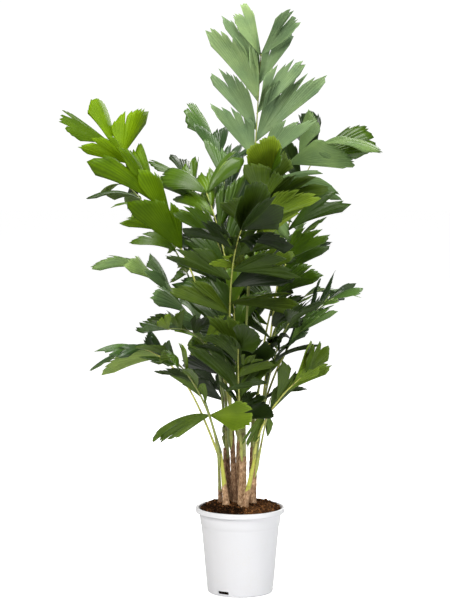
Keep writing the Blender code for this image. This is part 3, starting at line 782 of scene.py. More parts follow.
class NodeSheet:
    """A node tree with short calls that add nodes and join their sockets."""

    def __init__(self, tree: bpy.types.NodeTree) -> None:
        """Keeps the tree."""
        self.tree = tree

    def add(self, kind: str, **settings: object) -> bpy.types.Node:
        """Adds a node and sets its properties."""
        node = self.tree.nodes.new(kind)
        for name, value in settings.items():
            setattr(node, name, value)
        return node

    def link(self, source: Socket, target: Socket) -> None:
        """Joins an output to an input."""
        self.tree.links.new(source, target)

    def feed(self, target: Socket, value: Socket | Colour | float) -> None:
        """Joins a socket to an input, or sets the input to a plain colour or number."""
        if isinstance(value, Socket):
            self.link(value, target)
        else:
            target.default_value = (*value, 1.0) if isinstance(value, tuple) else value

    def ramp(self, factor: Socket, stops: Sequence[tuple[float, Colour]]) -> Socket:
        """A colour ramp on a factor, from (place, colour) stops."""
        node = self.add("ShaderNodeValToRGB")
        band = node.color_ramp
        while len(band.elements) < len(stops):
            band.elements.new(0.5)
        for element, (place, colour) in zip(band.elements, stops):
            element.position = place
            element.color = (*colour, 1.0)
        self.link(factor, node.inputs["Fac"])
        return node.outputs["Color"]

    def mask(self, factor: Socket, low: float, high: float, greys: Pair = (0.0, 1.0)) -> Socket:
        """A ramp between two places on a factor, from one grey to another."""
        return self.ramp(factor, ((low, (greys[0],) * 3), (high, (greys[1],) * 3)))

    def mix(self, factor: Socket | float, first: Socket | Colour, second: Socket | Colour,
            blend: str = "MIX") -> Socket:
        """A mix of two colours, each a socket or a plain colour."""
        node = self.add("ShaderNodeMix", data_type="RGBA", blend_type=blend)
        for label, value in (("Factor", factor), ("A", first), ("B", second)):
            self.feed(node.inputs[label], value)
        return node.outputs["Result"]

    def multiply(self, first: Socket | Colour, second: Socket | Colour) -> Socket:
        """The product of two colours."""
        return self.mix(1.0, first, second, "MULTIPLY")

    def maths(self, operation: str, first: Socket | float, second: Socket | float) -> Socket:
        """One operation on two values, each a socket or a number."""
        node = self.add("ShaderNodeMath", operation=operation)
        self.feed(node.inputs[0], first)
        self.feed(node.inputs[1], second)
        return node.outputs["Value"]

    def noise(self, vector: Socket, scale: float, detail: float = 3.0) -> Socket:
        """A noise value over a vector."""
        node = self.add("ShaderNodeTexNoise")
        node.inputs["Scale"].default_value = scale
        node.inputs["Detail"].default_value = detail
        self.link(vector, node.inputs["Vector"])
        return node.outputs["Fac"]

    def stretched(self, vector: Socket, scale: Colour) -> Socket:
        """A vector scaled along its axes."""
        node = self.add("ShaderNodeMapping")
        node.inputs["Scale"].default_value = scale
        self.link(vector, node.inputs["Vector"])
        return node.outputs["Vector"]

    def placed(self) -> Socket:
        """The object coordinates of a piece."""
        return self.add("ShaderNodeTexCoord").outputs["Object"]

    def tint(self) -> Socket:
        """How light a face is beside its neighbours, as its mesh says."""
        node = self.add("ShaderNodeAttribute", attribute_name="tint", attribute_type="GEOMETRY")
        return node.outputs["Fac"]

    def effect(self, tree: bpy.types.NodeTree, vector: Socket) -> bpy.types.NodeOutputs:
        """The outputs of a shared effect over a vector."""
        node = self.add("ShaderNodeGroup", node_tree=tree)
        self.link(vector, node.inputs[0])
        return node.outputs


def effect_group(name: str, outputs: Sequence[str],
                 fill: Callable[[NodeSheet, Socket, bpy.types.Node], None]) -> bpy.types.NodeTree:
    """A node group over a vector that more than one material uses, built once.

    Args:
        name: The group's name.
        outputs: The names of its outputs, all values.
        fill: Adds the nodes between the group's vector and its output node.

    Returns:
        The group.
    """
    group = bpy.data.node_groups.get(name)
    if group is not None:
        return group
    group = bpy.data.node_groups.new(name, "ShaderNodeTree")
    group.interface.new_socket("Place", in_out="INPUT", socket_type="NodeSocketVector")
    for label in outputs:
        group.interface.new_socket(label, in_out="OUTPUT", socket_type="NodeSocketFloat")
    sheet = NodeSheet(group)
    fill(sheet, sheet.add("NodeGroupInput").outputs["Place"], sheet.add("NodeGroupOutput"))
    return group


def leaf_veins() -> bpy.types.NodeTree:
    """Fine veins that run with a leaflet's rays, as a mask and a height."""

    def fill(sheet: NodeSheet, place: Socket, end: bpy.types.Node) -> None:
        """Lays many thin bands across the pattern, broken up a little by a stretched noise."""
        bands = sheet.add("ShaderNodeTexWave", bands_direction="X", wave_profile="SIN")
        sheet.link(sheet.stretched(place, (1.0, 0.06, 1.0)), bands.inputs["Vector"])
        for label, value in (("Scale", 7.0), ("Distortion", 0.6), ("Detail", 2.0)):
            bands.inputs[label].default_value = value
        grain = sheet.noise(sheet.stretched(place, (90.0, 4.0, 1.0)), scale=1.0)
        sheet.link(bands.outputs["Fac"], end.inputs["Vein"])
        sheet.link(sheet.maths("MULTIPLY", bands.outputs["Fac"], grain), end.inputs["Height"])

    return effect_group("leaf_veins", ("Vein", "Height"), fill)


def fibre_grain() -> bpy.types.NodeTree:
    """Long fibres and small pits in a stem, as a mask, a blotch and a height."""

    def fill(sheet: NodeSheet, place: Socket, end: bpy.types.Node) -> None:
        """Stretches one noise along the stem for fibres and lays a rounder one over it."""
        fibres = sheet.noise(sheet.stretched(place, (1.0, 1.0, 0.22)), scale=560.0, detail=4.0)
        blotch = sheet.noise(place, scale=55.0, detail=4.0)
        pits = sheet.noise(place, scale=900.0, detail=2.0)
        both = sheet.maths("ADD", sheet.maths("MULTIPLY", fibres, 0.7), sheet.maths("MULTIPLY", pits, 0.3))
        sheet.link(fibres, end.inputs["Fibre"])
        sheet.link(blotch, end.inputs["Blotch"])
        sheet.link(both, end.inputs["Height"])

    return effect_group("fibre_grain", ("Fibre", "Blotch", "Height"), fill)


def new_finish(name: str, roughness: float, specular: float) -> tuple[Material, NodeSheet, bpy.types.Node]:
    """A new material with a Principled shader.

    Args:
        name: The material's name.
        roughness: Its roughness.
        specular: Its specular level.

    Returns:
        The material, its node sheet and the shader.
    """
    material = bpy.data.materials.new(name)
    material.use_nodes = True
    sheet = NodeSheet(material.node_tree)
    shader = material.node_tree.nodes["Principled BSDF"]
    shader.inputs["Roughness"].default_value = roughness
    shader.inputs["Specular IOR Level"].default_value = specular
    return material, sheet, shader


def set_bump(sheet: NodeSheet, shader: bpy.types.Node, height: Socket, depth: float) -> None:
    """Gives a shader relief from a height, its full depth in metres."""
    bump = sheet.add("ShaderNodeBump")
    bump.inputs["Strength"].default_value = 1.0
    bump.inputs["Distance"].default_value = depth
    sheet.link(height, bump.inputs["Height"])
    sheet.link(bump.outputs["Normal"], shader.inputs["Normal"])


@dataclass(frozen=True)
class LeafFinish:
    """A leaflet's two sides, glossier above and paler below, and how much its leaflets differ in tint."""

    tone: Tone
    upper: Colour
    under: Colour
    play: float = 1.0
    gloss: float = 0.36
    shine: float = 0.42
    under_gloss: float = 0.45
    under_shine: float = 0.6
    vein_light: float = 1.18
    vein_deep: float = 0.87
    vein_relief: float = 0.00014
    mottle: float = 17.0
    slot: str = "frond"

    def side(self, name: str, colour: Colour, roughness: float, specular: float) -> Material:
        """The material of one side: its green, lighter along the veins and from leaflet to leaflet."""
        material, sheet, shader = new_finish(name, roughness, specular)
        veins = sheet.effect(leaf_veins(), sheet.add("ShaderNodeUVMap", uv_map="pattern").outputs["UV"])
        light = tuple(min(1.0, part * self.vein_light) for part in colour)
        deep = tuple(part * self.vein_deep for part in colour)
        green = sheet.mix(veins["Vein"], deep, light)
        green = sheet.mix(self.play, green, sheet.ramp(sheet.tint(), LEAF_TINTS), "MULTIPLY")
        green = sheet.multiply(green, sheet.ramp(sheet.noise(sheet.placed(), self.mottle), LEAF_MOTTLE))
        sheet.link(green, shader.inputs["Base Color"])
        set_bump(sheet, shader, veins["Height"], self.vein_relief)
        return material

    def materials(self) -> list[Material]:
        """The upper and the under side's materials, in the order of Skin."""
        name = f"leaf_{self.tone.value}"
        return [self.side(f"{name}_upper", self.upper, self.gloss, self.shine),
                self.side(f"{name}_under", self.under, self.under_gloss, self.shine * self.under_shine)]


@dataclass(frozen=True)
class StalkFinish:
    """The smooth green of ribs and sheaths, brown and scurfy in flecks."""

    name: str = "rib_green"
    low: Colour = (0.31, 0.35, 0.08)
    high: Colour = (0.52, 0.54, 0.19)
    fleck: Colour = (0.12, 0.08, 0.03)
    gloss: float = 0.42
    shine: float = 0.45
    relief: float = 0.0003
    slot: str = "frond"
    varied: bool = False

    def material(self) -> Material:
        """The material: lengthwise fibres between two greens, with scurf where the blotches are darkest."""
        material, sheet, shader = new_finish(self.name, self.gloss, self.shine)
        grain = sheet.effect(fibre_grain(), sheet.placed())
        green = sheet.mix(grain["Fibre"], self.low, self.high)
        if self.varied:
            green = sheet.multiply(green, sheet.ramp(sheet.tint(), RIB_TINTS))
        scurf = sheet.mask(grain["Blotch"], 0.30, 0.44, (0.75, 0.0))
        sheet.link(sheet.mix(scurf, green, self.fleck), shader.inputs["Base Color"])
        set_bump(sheet, shader, grain["Height"], self.relief)
        return material


@dataclass(frozen=True)
class BarkFinish:
    """The fibrous brown of the leaf bases that earlier fronds left on a cane."""

    name: str = "cane_bark"
    deep: Colour = (0.15, 0.075, 0.038)
    mid: Colour = (0.50, 0.31, 0.17)
    pale: Colour = (0.80, 0.56, 0.37)
    gloss: float = 0.85
    shine: float = 0.25
    relief: float = 0.0012

    def material(self) -> Material:
        """The material: fibres from deep brown to pinkish tan, darker in blotches."""
        material, sheet, shader = new_finish(self.name, self.gloss, self.shine)
        grain = sheet.effect(fibre_grain(), sheet.placed())
        fibres = sheet.ramp(grain["Fibre"], ((0.32, self.deep), (0.5, self.mid), (0.68, self.pale)))
        worn = sheet.ramp(grain["Blotch"], ((0.35, (0.55, 0.50, 0.46)), (0.6, (1.0, 1.0, 1.0))))
        sheet.link(sheet.multiply(fibres, worn), shader.inputs["Base Color"])
        set_bump(sheet, shader, grain["Height"], self.relief)
        return material


@dataclass(frozen=True)
class SoilFinish:
    """Moist potting soil, blackish in places and brown with coir in others, most of all on the right."""

    name: str
    deep: Colour
    light: Colour
    coir: Colour = (0.26, 0.12, 0.045)
    coir_slope: float = 1.6
    gloss: float = 1.0
    shine: float = 0.04
    relief: float = 0.002
    slot: str = "soil"
    loose: bool = False

    def material(self) -> Material:
        """The material: grains of two browns with a coarse relief."""
        material, sheet, shader = new_finish(self.name, self.gloss, self.shine)
        place = sheet.placed()
        grains = sheet.noise(place, scale=420.0, detail=4.0)
        patches = sheet.noise(place, scale=24.0)
        right = sheet.add("ShaderNodeSeparateXYZ")
        sheet.link(place, right.inputs["Vector"])
        spread = sheet.maths("ADD", patches, sheet.maths("MULTIPLY", right.outputs["X"], self.coir_slope))
        light = sheet.mix(sheet.mask(spread, 0.46, 0.62, (0.0, 0.8)), self.light, self.coir)
        brown = sheet.mix(sheet.mask(grains, 0.35, 0.7), self.deep, light)
        damp = sheet.ramp(patches, ((0.38, (0.42, 0.40, 0.40)), (0.62, (1.0, 1.0, 1.0))))
        if self.loose:
            damp = sheet.multiply(damp, sheet.ramp(sheet.tint(), CRUMB_TINTS))
        sheet.link(sheet.multiply(brown, damp), shader.inputs["Base Color"])
        set_bump(sheet, shader, grains, self.relief)
        return material


@dataclass(frozen=True)
class PotFinish:
    """White moulded plastic with a faint grain, and a little dust in patches."""

    name: str = "white_pot_plastic"
    white: Colour = (0.71, 0.71, 0.74)
    dust: Colour = (0.70, 0.69, 0.68)
    gloss: Pair = (0.33, 0.47)
    shine: float = 0.5
    relief: float = 0.00015
    slot: str = "pot"

    def material(self) -> Material:
        """The material: white, dustier where two noises meet, with a moulded grain."""
        material, sheet, shader = new_finish(self.name, self.gloss[0], self.shine)
        place = sheet.placed()
        patches = sheet.noise(place, scale=14.0, detail=5.0)
        specks = sheet.noise(place, scale=240.0, detail=2.0)
        dusty = sheet.mask(sheet.maths("MULTIPLY", patches, specks), 0.27, 0.45, (0.0, 0.55))
        sheet.link(sheet.mix(dusty, self.white, self.dust), shader.inputs["Base Color"])
        sheet.link(sheet.mask(patches, 0.3, 0.7, self.gloss), shader.inputs["Roughness"])
        set_bump(sheet, shader, specks, self.relief)
        return material


class Sheath(Enum):
    """The greens of the smooth sheath above a cane's bark."""

    YELLOW = "yellow"
    PALE = "pale"
    OLIVE = "olive"


@dataclass(frozen=True)
class CaneLook:
    """How far up a cane its bark goes, the green above it, whether it is broken off, and whether its bark is
    darker as painted shade.
    """

    bark: float
    sheath: Sheath
    broken: bool = False
    shaded: bool = False


def rolled_grid(name: str, sides: int, rings: int, place: Placing) -> bpy.types.Object:
    """A grid that is rolled up round an axis, welded along its seam and closed at its ends.

    Args:
        name: The object's name.
        sides: How many faces go round.
        rings: How many faces go along.
        place: Turns the shares round and along, both from 0 to 1, into points.

    Returns:
        The object, at the origin.
    """
    clear_selection()
    bpy.ops.mesh.primitive_grid_add(x_subdivisions=sides, y_subdivisions=rings, size=1.0)
    item = bpy.context.object
    item.name = name
    mesh = item.data
    mesh.name = name
    flat = np.empty(len(mesh.vertices) * 3, dtype=np.float32)
    mesh.vertices.foreach_get("co", flat)
    flat = flat.reshape(-1, 3).astype(float)
    around = np.round((flat[:, 0] + 0.5) * sides) / sides
    along = flat[:, 1] + 0.5
    points = place(around % 1.0, along)
    mesh.vertices.foreach_set("co", points.astype(np.float32).ravel())
    bpy.ops.object.mode_set(mode="EDIT")
    bpy.ops.mesh.select_all(action="SELECT")
    bpy.ops.mesh.remove_doubles(threshold=SEAM)
    bpy.ops.mesh.fill_holes(sides=0)
    bpy.ops.mesh.select_all(action="SELECT")
    bpy.ops.mesh.normals_make_consistent(inside=False)
    bpy.ops.object.mode_set(mode="OBJECT")
    bpy.ops.object.shade_smooth()
    return item


def ripples(draw: random.Random, count: int, around: tuple[int, int], along: float) -> Placing:
    """A smooth random relief round a stem.

    Args:
        draw: Seeded draws.
        count: How many waves are summed.
        around: The fewest and the most waves round the stem.
        along: The most waves along a metre.

    Returns:
        A function of the angle and the height that gives values of about -1 to 1.
    """
    waves = [(draw.randint(*around), draw.uniform(-along, along) * math.tau, draw.uniform(0, PHASE))
             for _ in range(count)]

    def relief(angle: Array, height: Array) -> Array:
        """The sum of the waves."""
        total = sum(np.sin(turns * angle + pitch * height + phase) for turns, pitch, phase in waves)
        return total / math.sqrt(count)

    return relief


class Canes:
    """The canes: leaf scars, fibres and pegs in the bark, and a smooth green sheath above its ragged edge."""

    SIDES = 60
    RING_GAP = 0.0022
    SCAR_GAP = (0.016, 0.03)
    SCAR_FIRST = 0.006
    SCAR_TILT = (0.001, 0.004)
    SCAR_DEPTH = 0.0011
    FIBRE_DEPTH = 0.00032
    SHEATH_FIBRE_DEPTH = 0.00012
    SWELL_DEPTH = 0.0003
    PEGS = 34
    PEG_HEIGHT = 0.0012
    PEG_WIDTH = 0.0016
    PEG_ZONE = 0.05
    EDGE_SLANT = 0.006
    EDGE_RAGS = 0.0028
    BREAK_DEPTH = 0.003
    BREAK_FROM = 0.985
    LEAN_FROM = 0.04
    BARK_STEP = 0.0010
    FULL_RELIEF_GIRTH = 0.011
    FLARE = 0.2
    FLARE_ZONE = 0.025
    FIRST_SEED = 11
    SLOT = "cane"

    def __init__(self, looks: dict[str, CaneLook], barks: dict[bool, BarkFinish],
                 sheaths: dict[Sheath, StalkFinish]) -> None:
        """Keeps each cane's look and makes its finishes, the barks by whether they are darker as painted
        shade.
        """
        self.looks = looks
        self.barks = {shaded: finish.material() for shaded, finish in barks.items()}
        self.sheaths = {kind: finish.material() for kind, finish in sheaths.items()}

    def build(self) -> None:
        """Builds every cane, each with its own seed."""
        for seed, cane in enumerate(CANES, self.FIRST_SEED):
            self.build_cane(cane, self.looks[cane.name], seed)

    def build_cane(self, cane: Cane, look: CaneLook, seed: int) -> None:
        """Builds one cane.

        Args:
            cane: The cane.
            look: Its look.
            seed: The seed of its scars, fibres and pegs.
        """
        draw = random.Random(seed)
        fibres = ripples(draw, 9, (7, 24), 9.0)
        swell = ripples(draw, 4, (1, 3), 14.0)
        ragged = ripples(draw, 7, (2, 13), 0.0)
        scars = [(self.SCAR_FIRST, 0.0, 0.0)]
        while scars[-1][0] < cane.height:
            rise = scars[-1][0] + draw.uniform(*self.SCAR_GAP)
            scars.append((rise, draw.uniform(0, PHASE), draw.uniform(*self.SCAR_TILT)))
        pegs = [(draw.uniform(0, math.tau), draw.uniform(0.0, self.PEG_ZONE)) for _ in range(self.PEGS)]

        def bark_top(angle: Array) -> Array:
            """The height at which the bark ends, all round."""
            if look.broken:
                return np.full_like(angle, cane.height * 2)
            slant = self.EDGE_SLANT * np.cos(angle - seed)
            return cane.height * look.bark + slant + self.EDGE_RAGS * ragged(angle, angle * 0)

        def skin(around: Array, along: Array) -> Array:
            """The points of the cane's skin."""
            angle = around * math.tau
            height = along * cane.height
            radius = cane.thick[0] + (cane.thick[1] - cane.thick[0]) * along
            radius = radius * (1 + self.FLARE * np.clip(1 - height / self.FLARE_ZONE, 0, 1) ** 1.5)
            inner = radius - self.BARK_STEP
            relief = self.FIBRE_DEPTH * fibres(angle, height) + self.SWELL_DEPTH * swell(angle, height)
            for (low, _, _), (high, turn, tilt) in zip(scars, scars[1:]):
                edge_low = low + tilt * np.cos(angle - turn)
                edge_high = high + tilt * np.cos(angle - turn)
                share = (height - edge_low) / (edge_high - edge_low)
                inside = (share >= 0) & (share < 1)
                relief = relief + np.where(inside, self.SCAR_DEPTH * (share ** 2 - 0.5), 0.0)
            for turn, rise in pegs:
                apart = np.angle(np.exp(1j * (angle - turn))) * cane.thick[0]
                away = (apart ** 2 + (height - rise) ** 2) / self.PEG_WIDTH ** 2
                relief = relief + self.PEG_HEIGHT * np.exp(-away)
            green = inner + self.SHEATH_FIBRE_DEPTH * fibres(angle, height * 0.2)
            barked = height < bark_top(angle)
            depth = min(1.0, cane.thick[0] / self.FULL_RELIEF_GIRTH)
            radius = np.where(barked, radius + relief * depth, green)
            drop = np.zeros_like(height)
            if look.broken:
                rags = self.BREAK_DEPTH * (1 + ragged(angle, angle * 0))
                drop = np.where(along > self.BREAK_FROM, rags, 0.0)
            straight = np.clip(along - self.LEAN_FROM, 0, 1) / (1 - self.LEAN_FROM)
            return np.stack([cane.foot[0] + cane.lean[0] * straight + radius * np.cos(angle),
                             cane.foot[1] + cane.lean[1] * straight + radius * np.sin(angle),
                             SOIL_TOP + GAP + height - drop], axis=1)

        piece = rolled_grid(f"{cane.name}_skin", self.SIDES, round(cane.height / self.RING_GAP), skin)
        piece.data.materials.append(self.barks[look.shaded])
        piece.data.materials.append(self.sheaths[look.sheath])
        centres = np.array([face.center for face in piece.data.polygons])
        along = (centres[:, 2] - SOIL_TOP - GAP) / cane.height
        angle = np.arctan2(centres[:, 1] - cane.foot[1] - cane.lean[1] * along,
                           centres[:, 0] - cane.foot[0] - cane.lean[0] * along)
        skins = (along * cane.height > bark_top(angle)).astype(np.int32)
        piece.data.polygons.foreach_set("material_index", skins)
        finish_piece(piece, [cane.name])


class Soil:
    """The soil: one lumpy closed body in the pot, with crumbs and coir fibres lying on it."""

    SIDES = 160
    RINGS = 84
    RISE = 0.001
    FLAT = 0.086
    EDGE = 0.1232
    EDGE_Z = 0.2535
    FLOOR = 0.0045
    FLOOR_RADIUS = 0.0925
    KNOTS = (0.0, 0.72, 0.84, 1.0)
    WAVES = 26
    WAVE_SCALE = (40, 420)
    LUMP = 0.002704
    HEAP = 0.0022
    HEAP_WIDTH = 2.4
    CRUMBS = 1700
    CRUMB_ZONE = 0.975
    CRUMB_SIZE = (0.0010, 0.0030)
    BIG_CRUMBS = 0.12
    BIG_CRUMB_SIZE = 1.7
    CRUMB_LIFT = (-0.2, 0.45)
    CRUMB_STEPS = (-0.7, -0.15, 0.4, 0.75)
    CRUMB_GIRTH = (0.65, 1.15)
    BROWN = 0.32
    MORE_BROWN = 0.4
    MORE_BROWN_FROM = 0.01
    FIBRES = 320
    FIBRE_ZONE = 0.9
    FIBRE_LIMIT = 0.98
    FIBRE_POINTS = 7
    FIBRE_LENGTH = (0.006, 0.02)
    FIBRE_BEND = (-60, 60)
    FIBRE_REST = 0.0006
    FIBRE_ARCH = 0.0012
    FIBRE_GIRTH = (0.00018, 0.0004)
    WAVE_SEED = 71
    LYING_SEED = 505

    def __init__(self, packed: SoilFinish, dark: SoilFinish, brown: SoilFinish) -> None:
        """Keeps the finishes of the body, the dark crumbs and the brown ones."""
        self.packed = packed
        self.dark = dark
        self.brown = brown
        draw = random.Random(self.WAVE_SEED)
        self.waves = [(draw.uniform(*self.WAVE_SCALE), draw.uniform(0, PHASE), draw.uniform(0, PHASE))
                      for _ in range(self.WAVES)]
        self.heaps = [(cane.foot, cane.thick[0] * self.HEAP_WIDTH) for cane in CANES]

    def height(self, x: Array, y: Array) -> Array:
        """The height of the soil's top over a place."""
        away = np.hypot(x, y)
        slope = np.clip((away - self.FLAT) / (self.EDGE - self.FLAT), 0, 1)
        middle = SOIL_TOP + self.RISE
        level = middle - (middle - self.EDGE_Z) * slope ** 1.5
        for scale, turn, phase in self.waves:
            run = x * math.cos(turn) + y * math.sin(turn)
            level = level + self.LUMP / math.sqrt(scale) * np.sin(scale * run + phase)
        for (cx, cy), wide in self.heaps:
            level = level + self.HEAP * np.exp(-((x - cx) ** 2 + (y - cy) ** 2) / wide ** 2)
        return level

    def build(self) -> None:
        """Builds the body, the crumbs and the fibres."""
        _, side_top, side_foot, _ = self.KNOTS

        def surface(around: Array, along: Array) -> Array:
            """The points of the body's skin: its top, its side in the pot, and its underside."""
            angle = around * math.tau
            radius = np.interp(along, self.KNOTS, (0.0, self.EDGE, self.FLOOR_RADIUS, 0.0))
            x = radius * np.cos(angle)
            y = radius * np.sin(angle)
            edge = self.height(self.EDGE * np.cos(angle), self.EDGE * np.sin(angle))
            down = np.clip((along - side_top) / (side_foot - side_top), 0, 1)
            z = np.where(along <= side_top, self.height(x, y), edge + (self.FLOOR - edge) * down)
            return np.stack([x, y, z], axis=1)

        body = rolled_grid("soil_heap", self.SIDES, self.RINGS, surface)
        body.data.materials.append(self.packed.material())
        finish_piece(body, ["soil"])
        dark_lot, brown_lot = MeshLot(), MeshLot()
        form = StalkForm()
        draw = random.Random(self.LYING_SEED)
        for _ in range(self.CRUMBS):
            away = self.EDGE * self.CRUMB_ZONE * math.sqrt(draw.random())
            turn = draw.uniform(0, math.tau)
            x, y = away * math.cos(turn), away * math.sin(turn)
            brown = draw.random() < self.BROWN + self.MORE_BROWN * (x > self.MORE_BROWN_FROM)
            self.add_crumb(form, brown_lot if brown else dark_lot, x, y, draw)
        for _ in range(self.FIBRES):
            self.add_fibre(form, brown_lot, draw)
        for name, lot, finish in (("soil_crumbs", dark_lot, self.dark), ("soil_coir", brown_lot, self.brown)):
            finish_piece(lot.build(name, [finish.material()], weld=True), ["soil"])

    def add_crumb(self, form: StalkForm, lot: MeshLot, x: float, y: float, draw: random.Random) -> None:
        """Adds a crumb, a short knobbly body half sunk in the soil."""
        size = draw.uniform(*self.CRUMB_SIZE)
        size *= self.BIG_CRUMB_SIZE if draw.random() < self.BIG_CRUMBS else 1.0
        z = float(self.height(np.array(x), np.array(y))) + size * draw.uniform(*self.CRUMB_LIFT)
        turn = circle(6)
        lean = Vector((draw.uniform(-1, 1), draw.uniform(-1, 1), draw.uniform(0.2, 1))).normalized()
        side = np.array(lean.orthogonal().normalized())
        other = np.cross(np.array(lean), side)
        steps = np.array(self.CRUMB_STEPS)
        centres = np.array([x, y, z]) + np.outer(steps * size, np.array(lean))
        girth = np.array([[draw.uniform(*self.CRUMB_GIRTH) for _ in turn] for _ in steps])
        girth *= np.sqrt(1 - (steps * 0.95) ** 2)[:, None] * size
        spoke = np.outer(np.cos(turn), side) + np.outer(np.sin(turn), other)
        form.add_tube(lot, centres[:, None] + spoke[None] * girth[..., None], centres, size, draw.random())

    def add_fibre(self, form: StalkForm, lot: MeshLot, draw: random.Random) -> None:
        """Adds a coir fibre that lies curved on the soil."""
        away = self.EDGE * self.FIBRE_ZONE * math.sqrt(draw.random())
        turn = draw.uniform(0, math.tau)
        bearing = draw.uniform(0, math.tau)
        bend = draw.uniform(*self.FIBRE_BEND)
        steps = np.linspace(0, draw.uniform(*self.FIBRE_LENGTH), self.FIBRE_POINTS)
        heading = bearing + bend * steps
        x = away * math.cos(turn) + np.cumsum(np.cos(heading)) * steps[1]
        y = away * math.sin(turn) + np.cumsum(np.sin(heading)) * steps[1]
        if float(np.hypot(x, y).max()) > self.EDGE * self.FIBRE_LIMIT:
            return
        arch = self.FIBRE_ARCH * np.sin(np.linspace(0, math.pi, self.FIBRE_POINTS)) * draw.random()
        z = self.height(x, y) + self.FIBRE_REST + arch
        centres = np.stack([x, y, z], axis=1)
        way = unit(np.gradient(centres, axis=0))
        level = unit(np.cross(way, np.array([0.0, 0.0, 1.0])))
        top = np.cross(level, way)
        rings = centres[:, None] + spokes(level, top, circle(4)) * draw.uniform(*self.FIBRE_GIRTH)
        form.add_tube(lot, rings, centres, length=self.FIBRE_LENGTH[1])


@dataclass(frozen=True)
class Pot:
    """The nursery pot: a tapered wall with a rolled rim, a step ring below it and slots at its foot."""

    height: float = 0.259
    rim: float = 0.1345
    rim_in: float = 0.1259
    rim_drop: float = 0.015
    roll: float = 0.003
    bevel: float = 0.002
    wall: float = 0.0026
    wall_top: float = 0.1235
    step_top: float = 0.209
    step_drop: float = 0.006
    step_in: float = 0.0022
    base: float = 0.0995
    base_round: float = 0.006
    floor: float = 0.004
    crease: float = 0.001
    step_ease: float = 0.8
    step_edge: float = 0.0006
    lip_edge: float = 0.0008
    foot_curve: tuple[Pair, ...] = ((0.004, 0.006), (0.0, 0.001), (-0.002, 0.0))
    sides: int = 144
    slot_count: int = 3
    slot_first: float = 239.0
    slot_size: tuple[float, float, float] = (0.02, 0.036, 0.009)
    slot_z: float = 0.0125
    slot_round: float = 0.002
    slot_round_steps: int = 3
    smooth_below: float = 32.0

    def wall_radius(self, z: float) -> float:
        """The outer radius at a height below the rim, without the step."""
        return self.base + (self.wall_top - self.base) * z / (self.height - self.rim_drop)

    def arc(self, centre: Pair, radius: float, first: float, last: float) -> list[Pair]:
        """Points of a quarter round in the profile's plane, from one angle in degrees to another."""
        angles = np.radians(np.linspace(first, last, 8))
        return [(centre[0] + radius * math.cos(a), centre[1] + radius * math.sin(a)) for a in angles]

    def profile(self) -> list[Pair]:
        """Radius and height from the underside's edge, up the outside, over the rim and down to the floor."""
        lip = self.height - self.rim_drop
        low = self.step_top - self.step_drop
        inner_step = self.wall_radius(self.step_top) - self.wall - self.step_in
        inner_foot = self.wall_radius(self.floor) - self.wall - self.floor
        return [
            *self.arc((self.base - self.base_round, self.base_round), self.base_round, -90, 0),
            (self.wall_radius(low) - self.step_in, low - self.crease),
            (self.wall_radius(low) - self.step_in * self.step_ease, low),
            (self.wall_radius(self.step_top) - self.step_edge, self.step_top - self.crease),
            (self.wall_radius(self.step_top), self.step_top),
            (self.wall_radius(lip), lip - self.lip_edge),
            (self.wall_radius(lip) + self.lip_edge, lip),
            (self.rim - self.bevel, lip),
            *self.arc((self.rim - self.bevel, lip + self.bevel), self.bevel, -80, 0),
            *self.arc((self.rim - self.roll, self.height - self.roll), self.roll, 0, 90),
            *self.arc((self.rim_in + self.roll, self.height - self.roll), self.roll, 90, 180),
            (inner_step, self.step_top),
            *((inner_foot + out, self.floor + up) for out, up in self.foot_curve),
        ]

    def build(self, finish: PotFinish) -> None:
        """Extrudes the wall ring by ring from its underside, closes its floor and cuts the slots.

        Args:
            finish: The pot's finish.
        """
        rings = self.profile()
        clear_selection()
        bpy.ops.mesh.primitive_circle_add(vertices=self.sides, radius=rings[0][0], fill_type="NGON",
                                          location=(0.0, 0.0, 0.0))
        pot = bpy.context.object
        pot.name = "pot_shell"
        pot.data.name = "pot_shell"
        bpy.ops.object.mode_set(mode="EDIT")
        bpy.ops.mesh.select_all(action="SELECT")
        radius, height = rings[0]
        for wide, high in rings[1:]:
            bpy.ops.mesh.extrude_edges_move(TRANSFORM_OT_translate={"value": (0.0, 0.0, high - height)})
            share = wide / radius
            bpy.ops.transform.resize(value=(share, share, 1.0), center_override=(0.0, 0.0, high))
            radius, height = wide, high
        bpy.ops.mesh.edge_face_add()
        bpy.ops.mesh.select_all(action="SELECT")
        bpy.ops.mesh.normals_make_consistent(inside=False)
        bpy.ops.object.mode_set(mode="OBJECT")
        for k in range(self.slot_count):
            self.cut_slot(pot, math.radians(self.slot_first + 360 * k / self.slot_count))
        select_only(pot)
        bpy.ops.object.shade_smooth_by_angle(angle=math.radians(self.smooth_below))
        pot.data.materials.clear()
        pot.data.materials.append(finish.material())
        finish_piece(pot, ["pot"])

    def cut_slot(self, pot: bpy.types.Object, angle: float) -> None:
        """Cuts one drain slot with rounded corners through the wall."""
        away = self.wall_radius(self.slot_z) - self.wall / 2
        place = (away * math.cos(angle), away * math.sin(angle), self.slot_z)
        clear_selection()
        bpy.ops.mesh.primitive_cube_add(size=1.0, location=place, rotation=(0.0, 0.0, angle),
                                        scale=self.slot_size)
        cutter = bpy.context.object
        bpy.ops.object.transform_apply(location=True, rotation=True, scale=True)
        bpy.ops.object.modifier_add(type="BEVEL")
        rounding = cutter.modifiers[-1]
        rounding.width = self.slot_round
        rounding.segments = self.slot_round_steps
        bpy.ops.object.modifier_apply(modifier=rounding.name)
        select_only(pot)
        bpy.ops.object.modifier_add(type="BOOLEAN")
        cut = pot.modifiers[-1]
        cut.operation = "DIFFERENCE"
        cut.object = cutter
        bpy.ops.object.modifier_apply(modifier=cut.name)
        bpy.data.objects.remove(cutter, do_unlink=True)


